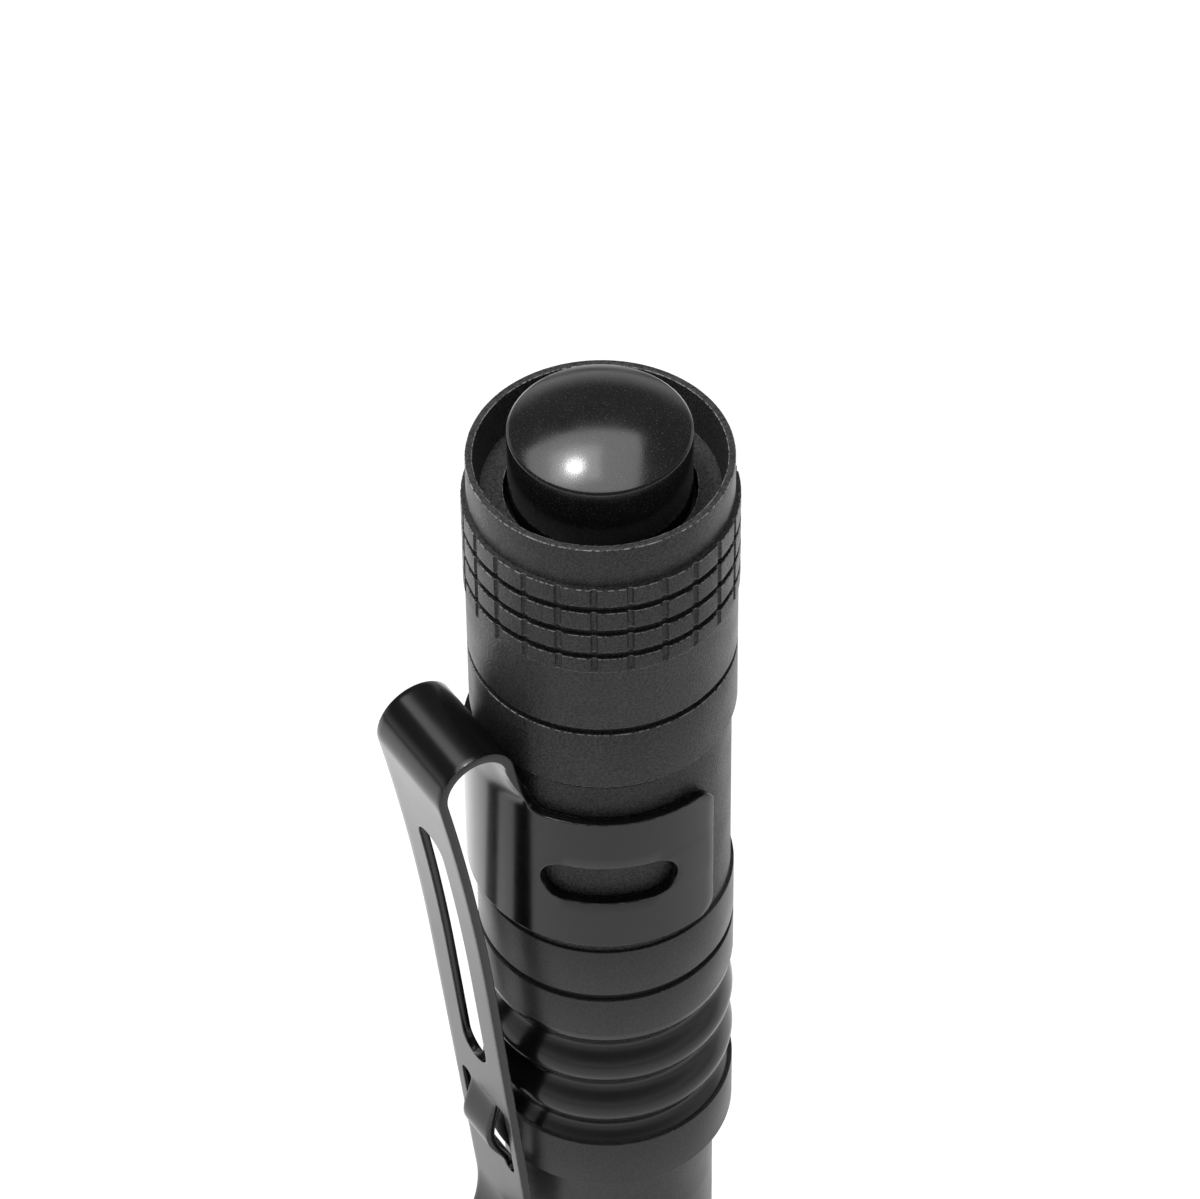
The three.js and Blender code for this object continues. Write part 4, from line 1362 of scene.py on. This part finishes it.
    def _plate(self) -> Obj:
        """The blank as one flat layer of quads, mirrored and given its thickness.

        Returns:
            The new object, its mesh in millimetres.
        """
        work = bmesh.new()
        self._arm_quads(work)
        self._band_quads(work)
        for vert in self._verts(bmesh.ops.duplicate(work, geom=work.faces[:])):
            vert.co.x *= -1
        bmesh.ops.remove_doubles(work, verts=work.verts, dist=self.merge_gap)
        bmesh.ops.dissolve_degenerate(work, edges=work.edges, dist=self.sliver)
        bmesh.ops.recalc_face_normals(work, faces=work.faces)
        if work.faces[0].normal.z < 0:
            bmesh.ops.reverse_faces(work, faces=work.faces)
        for vert in self._verts(bmesh.ops.extrude_face_region(work, geom=work.faces[:])):
            vert.co.z += self.thickness
        bmesh.ops.recalc_face_normals(work, faces=work.faces)
        mesh = bpy.data.meshes.new("clip_strip")
        work.to_mesh(mesh)
        work.free()
        return add_object("clip_strip", mesh)

    @staticmethod
    def _verts(made: dict) -> list[bmesh.types.BMVert]:
        """The corners among what a mesh operation made."""
        return [item for item in made["geom"] if isinstance(item, bmesh.types.BMVert)]

    @staticmethod
    def _quads(
        work: bmesh.types.BMesh,
        left: np.ndarray,
        right: np.ndarray,
        rows: np.ndarray,
        columns: int,
        keep: Optional[np.ndarray] = None,
    ) -> None:
        """Fills the strip between two edge lines.

        Args:
            work: The mesh to add to.
            left: Where the first line is across, at each row.
            right: Where the second line is across, at each row.
            rows: Places along the strip.
            columns: Quads from line to line.
            keep: Which gaps between rows are filled; all of them if left out.
        """
        shares = np.linspace(0, 1, columns + 1)
        verts = [
            [work.verts.new((a + (b - a) * s, y, 0)) for s in shares]
            for a, b, y in zip(left, right, rows)
        ]
        for i in range(len(rows) - 1) if keep is None else np.flatnonzero(keep):
            for k in range(columns):
                work.faces.new((verts[i][k], verts[i][k + 1], verts[i + 1][k + 1], verts[i + 1][k]))

    def _arm_quads(self, work: bmesh.types.BMesh) -> None:
        """Half of the neck, bend, arm and tip, with the slot and the loop's slit left open.

        Args:
            work: The mesh to add to.
        """
        rows = self._arm_rows()
        slot = self._hole_half(rows, self.slot, self.slot_length, self.slot_width)
        slit = self._hole_half(rows, self.loop, self.loop_length, self.loop_slit)
        outer = self._half_width(rows)
        middle = np.minimum(self.slit_centre, self.slit_limit * outer)
        self._quads(work, slot, middle - slit, rows, self.inner_columns)
        self._quads(work, middle + slit, outer, rows, self.outer_columns)

    def _band_quads(self, work: bmesh.types.BMesh) -> None:
        """Half of the band, with its round-ended window left open.

        Args:
            work: The mesh to add to.
        """
        half = self.window_height / 2
        centre = self.band_height / 2
        start = self.band_radius * math.radians(self.window_start)
        end = self.band_radius * math.radians(self.window_end)
        side = self.band_radius * math.radians(self.wrap / 2)
        corner = self.band_corner
        corner_rows = self._round_rows(0, corner, self.corner_rows)
        window_turn = np.linspace(-math.pi / 2, math.pi / 2, self.window_rows)
        rows = np.unique(np.round(np.concatenate([
            corner_rows,
            np.linspace(corner, centre - half, self.band_rows),
            centre + half * np.sin(window_turn),
            np.linspace(centre + half, self.band_height - corner, self.band_rows),
            self.band_height - corner_rows,
        ]), 6))
        into = np.clip(1 - np.minimum(rows, self.band_height - rows) / corner, 0, 1)
        outer = side - corner * (1 - np.sqrt(1 - into**2))
        swell = np.sqrt(np.clip(half**2 - (rows - centre) ** 2, 0, None))
        window_left = start + half - swell
        window_right = end - half + swell
        beside_window = np.abs((rows[1:] + rows[:-1]) / 2 - centre) > half
        neck_half = self._half_width(np.array([self.band_height]))[0]
        neck = np.minimum(neck_half, window_left - self.window_clear)
        slit = np.minimum(
            min(self.slit_centre, self.slit_limit * neck_half), self.band_slit_limit * neck
        )
        self._quads(work, np.zeros(len(rows)), slit, rows, self.inner_columns)
        self._quads(work, slit, neck, rows, self.outer_columns)
        self._quads(work, neck, window_left, rows, self.rib_columns)
        self._quads(work, window_left, window_right, rows, self.window_columns, beside_window)
        self._quads(work, window_right, outer, rows, self.side_columns)

    def _bend(self, flat: np.ndarray) -> np.ndarray:
        """Where each point of the blank goes.

        Args:
            flat: Points across, along and through the strip, in millimetres.

        Returns:
            The bent points in millimetres.
        """
        x, y, z = flat.T
        radius = np.full_like(y, self.band_radius)
        height = np.full_like(y, self.band_bottom)
        heading = np.zeros_like(y)
        left = y.copy()
        for length, turn in self.arcs:
            run = np.clip(left, 0, length)
            following = heading + turn * run / length
            if turn:
                radius += (np.cos(heading) - np.cos(following)) * length / turn
                height += (np.sin(following) - np.sin(heading)) * length / turn
            else:
                radius += run * np.sin(heading)
                height += run * np.cos(heading)
            heading = following
            left = left - run
        ease = self.thickness / 2
        share = np.clip((y - self.loop - ease) / (self.loop_length - 2 * ease), 0, 1)
        in_loop = np.abs(x) < self.slit_centre
        dip = self.loop_rise * np.sin(math.pi * share) ** self.loop_round
        depth = z - np.where(in_loop, dip, 0)
        flatness = np.clip((y - self.band_height) / (self.neck_ease + self.neck_rise), 0, 1)
        flatness = flatness**2 * (3 - 2 * flatness)
        curve = np.maximum((1 - flatness) / self.band_radius, 1e-9)
        angle = curve * x
        lift = depth * np.cos(angle) - (1 - np.cos(angle)) / curve
        across = np.sin(angle) / curve + depth * np.sin(angle)
        out = radius + lift * np.cos(heading)
        up = height - lift * np.sin(heading)
        return np.stack([-out, -across, up], -1)


@dataclass
class Head(SubAssembly):
    """The head's shell, its window and reflector, and the light's two seal rings."""

    lip: float = 0.9
    lip_land: float = 0.9
    lip_flare: float = 0.25
    bezel_chamfer: float = 0.6
    bore: float = 6.06
    seat_gap: float = 0.12
    rear_edge: float = 0.84
    rear_taper: float = 2.2
    fins: int = 3
    fin_width: float = 0.6
    fin_depth: float = 0.4
    fin_pitch: float = 1.9
    lens_edge: float = 0.2
    lens_bevel: float = 1.05
    lens_seal: float = 0.7
    tail_seal: float = 0.36
    seal_sides: int = 24
    reflector_rim: float = 0.8
    reflector_flange: float = 1.2
    reflector_wall: float = 0.8
    throat: float = 2.65
    bowl_rows: int = 30

    def build(self) -> None:
        """Makes the shell, window, seals and reflector."""
        parts = [
            (self._shell(), "anodised_aluminium", "head_housing", Palette.SMOOTH),
            (self._lens(), "lens_glass", "lens", Palette.GLASS),
        ]
        for node, width in (("lens_seal_ring", self.lens_seal), ("tail_seal_ring", self.tail_seal)):
            parts.append((self._seal(node, width), "seal_rubber", node, Palette.SEAL))
        parts.append((self._reflector(), "reflector_mirror", "reflector", Palette.MIRROR))
        for obj, slot, node, finish in parts:
            self.pieces.append(Piece(obj, "light_body", slot, (node,), finish.value))

    def _shell(self) -> Obj:
        """The turned shell, with its lip, fins and rear taper.

        Returns:
            The new object.
        """
        radius = radius_of("head_housing")
        back = top_of("head_housing")
        opening = radius_of("lens") - self.lip_land
        middle = (bottom_of("heat_sink_pill") + top_of("heat_sink_pill")) / 2
        first = middle - ((self.fins - 1) * self.fin_pitch + self.fin_width) / 2
        points = [
            (self.bore, back),
            (self.bore, -self.seat_gap),
            (opening, -self.seat_gap),
            (opening + self.lip_flare, -self.lip),
            (radius - self.bezel_chamfer, -self.lip),
            (radius, self.bezel_chamfer - self.lip),
        ]
        for i in range(self.fins):
            low = first + i * self.fin_pitch
            points += groove(radius, self.fin_depth, low, low + self.fin_width)
        points += [(radius, back - self.rear_taper), (radius - self.rear_edge, back)]
        return revolve("head_shell", Profile(points, edge=0.08))

    def _lens(self) -> Obj:
        """The window, with a wide bevel in front.

        Returns:
            The new object.
        """
        radius, back = radius_of("lens"), top_of("lens")
        points = [
            (0, 0),
            (radius - self.lens_bevel, 0),
            (radius, self.lens_edge),
            (radius, back - self.lens_edge),
            (radius - self.lens_edge, back),
            (0, back),
        ]
        return revolve("lens_window", Profile(points, closed=False, edge=0.05))

    def _seal(self, node: str, width: float) -> Obj:
        """A seal ring with an oval section.

        Args:
            node: The ring's CAD node.
            width: The section's width.

        Returns:
            The new object.
        """
        low, high = bottom_of(node), top_of(node)
        half_width, half_height = width / 2, (high - low) / 2
        centre = radius_of(node) - half_width
        points = [
            (centre + half_width * math.cos(a), (low + high) / 2 + half_height * math.sin(a))
            for a in np.radians(np.linspace(0, 360, self.seal_sides, endpoint=False))
        ]
        return revolve(node + "_torus", Profile(points, edge=0.01))

    def _reflector(self) -> Obj:
        """A parabolic bowl with a flange at its mouth.

        Returns:
            The new object.
        """
        optic, front, back = radius_of("reflector"), bottom_of("reflector"), top_of("reflector")
        mouth = optic - self.reflector_rim
        radii = np.linspace(mouth, self.throat, self.bowl_rows)
        depth = (mouth**2 - radii**2) / (mouth**2 - self.throat**2)
        bowl = [(float(r), float(front + d * (back - front))) for r, d in zip(radii, depth)]
        flange = front + self.reflector_flange
        wall = [
            (r + self.reflector_wall, z)
            for r, z in reversed(bowl[:-1])
            if z > flange and r + self.reflector_wall < optic
        ]
        points = [
            *bowl,
            (self.throat + self.reflector_wall, back),
            *wall,
            (wall[-1][0], flange),
            (optic, flange),
            (optic, front),
        ]
        return revolve("reflector_bowl", Profile(points, edge=0.04))


@dataclass
class Innards(SubAssembly):
    """The CAD nodes' own finishes; the nodes that no piece replaces are shown as they are."""

    finishes: dict[Palette, tuple[str, ...]] = field(default_factory=lambda: {
        Palette.WHITE_PLASTIC: ("led_centring_ring", "switch_plunger"),
        Palette.PHOSPHOR: ("led_emitter",),
        Palette.BOARD: ("led_board", "driver_board", "switch_board"),
        Palette.BRASS: ("heat_sink_pill", "cell_contact_post", "switch_retaining_ring"),
        Palette.BLACK_PLASTIC: ("driver_inductor", "driver_chip", "switch_housing"),
        Palette.RED_WIRE: ("lead_wire_positive",),
        Palette.BLACK_WIRE: ("lead_wire_negative",),
        Palette.SLEEVE: ("battery_cell",),
        Palette.BUTTON: ("boot_flange", "push_button"),
        Palette.SPRING: ("switch_return_spring", "tail_contact_spring"),
        Palette.BLASTED: ("tail_cap", "barrel"),
        Palette.CLIP: ("pocket_clip",),
        Palette.SMOOTH: ("head_housing",),
        Palette.GLASS: ("lens",),
        Palette.SEAL: ("lens_seal_ring", "tail_seal_ring"),
        Palette.MIRROR: ("reflector",),
    })

    def build(self) -> None:
        """Leaves the nodes' meshes as they are."""

    def dress(self) -> None:
        """Gives each node its finish."""
        for finish, nodes in self.finishes.items():
            for node in nodes:
                finish.value.coat(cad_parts[node].data)
                LOG.info("%s: %s in %s", type(self).__name__, node, finish.value.name)


# Studio


@dataclass(frozen=True)
class SoftBox:
    """A rectangular lamp.

    Args:
        name: The lamp's name.
        stand: Its place right, back and up from the rim's centre as the camera sees it, in metres.
        aim: Where it points, measured in the same way.
        width: Its size across, in metres.
        depth: Its size from front to back, in metres.
        radiance: Its brightness; 1 is as bright as a white surround.
    """

    name: str
    stand: Colour
    aim: Colour
    width: float
    depth: float
    radiance: float

    def place(self, rim: Vector, front: float) -> None:
        """Adds the lamp to the scene.

        Args:
            rim: The rim's centre.
            front: The camera's azimuth in degrees.
        """
        lamp = bpy.data.lights.new(self.name, "AREA")
        lamp.shape = "RECTANGLE"
        lamp.size, lamp.size_y = self.width, self.depth
        lamp.energy = math.pi * self.width * self.depth * self.radiance
        turn = Matrix.Rotation(math.radians(front), 3, "Z")
        stand, aim = turn @ Vector(self.stand), turn @ Vector(self.aim)
        normal = (stand - aim).normalized()
        across = turn @ Vector((1, 0, 0))
        across = (across - normal * across.dot(normal)).normalized()
        axes = Matrix((across, normal.cross(across), normal)).transposed()
        add_object(self.name, lamp).matrix_world = Matrix.Translation(rim + stand) @ axes.to_4x4()


@dataclass(frozen=True)
class Studio:
    """Pale floor, white surroundings, soft lamps and the photo's camera."""

    azimuth: float = -32.0
    camera_reach: float = 224.33
    camera_rise: float = 222.3
    pitch: float = 46.08
    yaw: float = 0.027
    roll: float = -0.718
    focal_px: float = 6221.7
    image_width_px: float = 1200.0
    sensor_mm: float = 36.0
    clip: Point = (0.01, 10.0)
    horizon: float = 0.8
    sky: float = 0.1
    sky_rise: float = 0.3
    floor_half: float = 3.0
    floor_colour: Colour = (0.86, 0.86, 0.86)
    floor_shade: Colour = (0.84, 0.84, 0.84)
    floor_blotch_mm: float = 40.0
    floor_roughness: float = 0.8
    floor_white: float = 0.55
    white_reach: Point = (0.15, 1.0)
    glow: float = 1.0
    front_glow: float = 0.2
    glow_way: Colour = (-0.1, 1.0, 0.0)
    glow_rise: float = 0.05
    glow_reach: Point = (0.15, 0.7)
    lamps: tuple[SoftBox, ...] = (
        SoftBox("overhead", (-0.14, 0.09, 0.58), (-0.14, 0.09, 0), 0.78, 0.52, 1.6),
        SoftBox("overhead_middle", (-0.15, 0.07, 0.57), (-0.15, 0.07, 0), 0.3, 0.24, 1.4),
        SoftBox("overhead_core", (-0.145, 0.05, 0.56), (-0.145, 0.05, 0), 0.07, 0.07, 40.0),
    )

    def build(self) -> None:
        """Sets up the whole studio."""
        bpy.context.scene.view_settings.view_transform = "Standard"
        self._camera()
        self._floor()
        self._world()
        rim = Vector((0, 0, top_of("tail_cap") * MM))
        for lamp in self.lamps:
            lamp.place(rim, self.azimuth)

    def _camera(self) -> None:
        """The camera, placed from the rim's centre and turned as in the photo."""
        data = bpy.data.cameras.new("camera")
        data.sensor_width = self.sensor_mm
        data.lens = self.focal_px * self.sensor_mm / self.image_width_px
        data.clip_start, data.clip_end = self.clip
        camera = add_object("camera", data)
        spin = Matrix.Rotation(math.radians(self.azimuth), 4, "Z")
        heading = Matrix.Rotation(math.radians(self.yaw), 4, "Z")
        aim = heading @ Matrix.Rotation(math.radians(90 - self.pitch), 4, "X")
        tilt = Matrix.Rotation(math.radians(self.roll), 4, "Z")
        rim = top_of("tail_cap")
        place = Vector((0, -self.camera_reach, rim + self.camera_rise)) * MM
        camera.matrix_world = spin @ Matrix.Translation(place) @ aim @ tilt
        bpy.context.scene.camera = camera

    def _floor(self) -> None:
        """A plain floor, near white to the camera; reflections see it pale behind, dark in front."""
        height = CAD_BOX[0][2]
        half = self.floor_half
        mesh = bpy.data.meshes.new("floor")
        corners = [(x * half, y * half, height) for x, y in ((-1, -1), (1, -1), (1, 1), (-1, 1))]
        mesh.from_pydata(corners, [], [(0, 1, 2, 3)])
        floor = add_object("floor", mesh)
        graph = Graph(bpy.data.materials.new("floor_paper"))
        place = graph.coords["Object"]
        away = graph.measure("LENGTH", place)
        turn = Matrix.Rotation(math.radians(self.azimuth), 3, "Z")
        behind = graph.measure("DOT_PRODUCT", place, turn @ Vector(self.glow_way))
        sides = graph.ramp(behind, 0, self.glow_rise, self.front_glow, self.glow)
        glow = graph.calc("MULTIPLY", graph.ramp(away, *self.glow_reach, 1, 0), sides)
        glossy = graph.add("ShaderNodeLightPath").outputs["Is Glossy Ray"]
        white = graph.ramp(away, *self.white_reach, self.floor_white, 1)
        reflected = graph.calc("MULTIPLY", glow, glossy)
        blotches = graph.noise(self.floor_blotch_mm)
        graph.set(
            Base_Color=graph.mix(blotches, self.floor_colour, self.floor_shade),
            Roughness=self.floor_roughness,
            Emission_Color=(1, 1, 1, 1),
            Emission_Strength=graph.calc("MULTIPLY_ADD", graph.seen(), white, reflected),
        )
        mesh.materials.append(graph.owner)

    def _world(self) -> None:
        """White to the camera; for other rays, a pale horizon that falls off to a dim sky."""
        world = bpy.data.worlds.new("surround")
        bpy.context.scene.world = world
        graph = Graph(world, "ShaderNodeBackground", "ShaderNodeOutputWorld")
        way = graph.add("ShaderNodeSeparateXYZ", Vector=graph.coords["Generated"])
        others = graph.ramp(way.outputs["Z"], 0, self.sky_rise, self.horizon, self.sky)
        graph.set(Color=(1, 1, 1, 1), Strength=graph.ramp(graph.seen(), 0, 1, others, 1))


def main() -> None:
    """Builds, dresses and lights the flashlight."""
    logging.basicConfig(level=logging.INFO)
    assemblies: Iterable[SubAssembly] = (TailCap(), Barrel(), PocketClip(), Head(), Innards())
    for assembly in assemblies:
        assembly.build()
        assembly.dress()
    Studio().build()


if __name__ == "__main__":
    main()
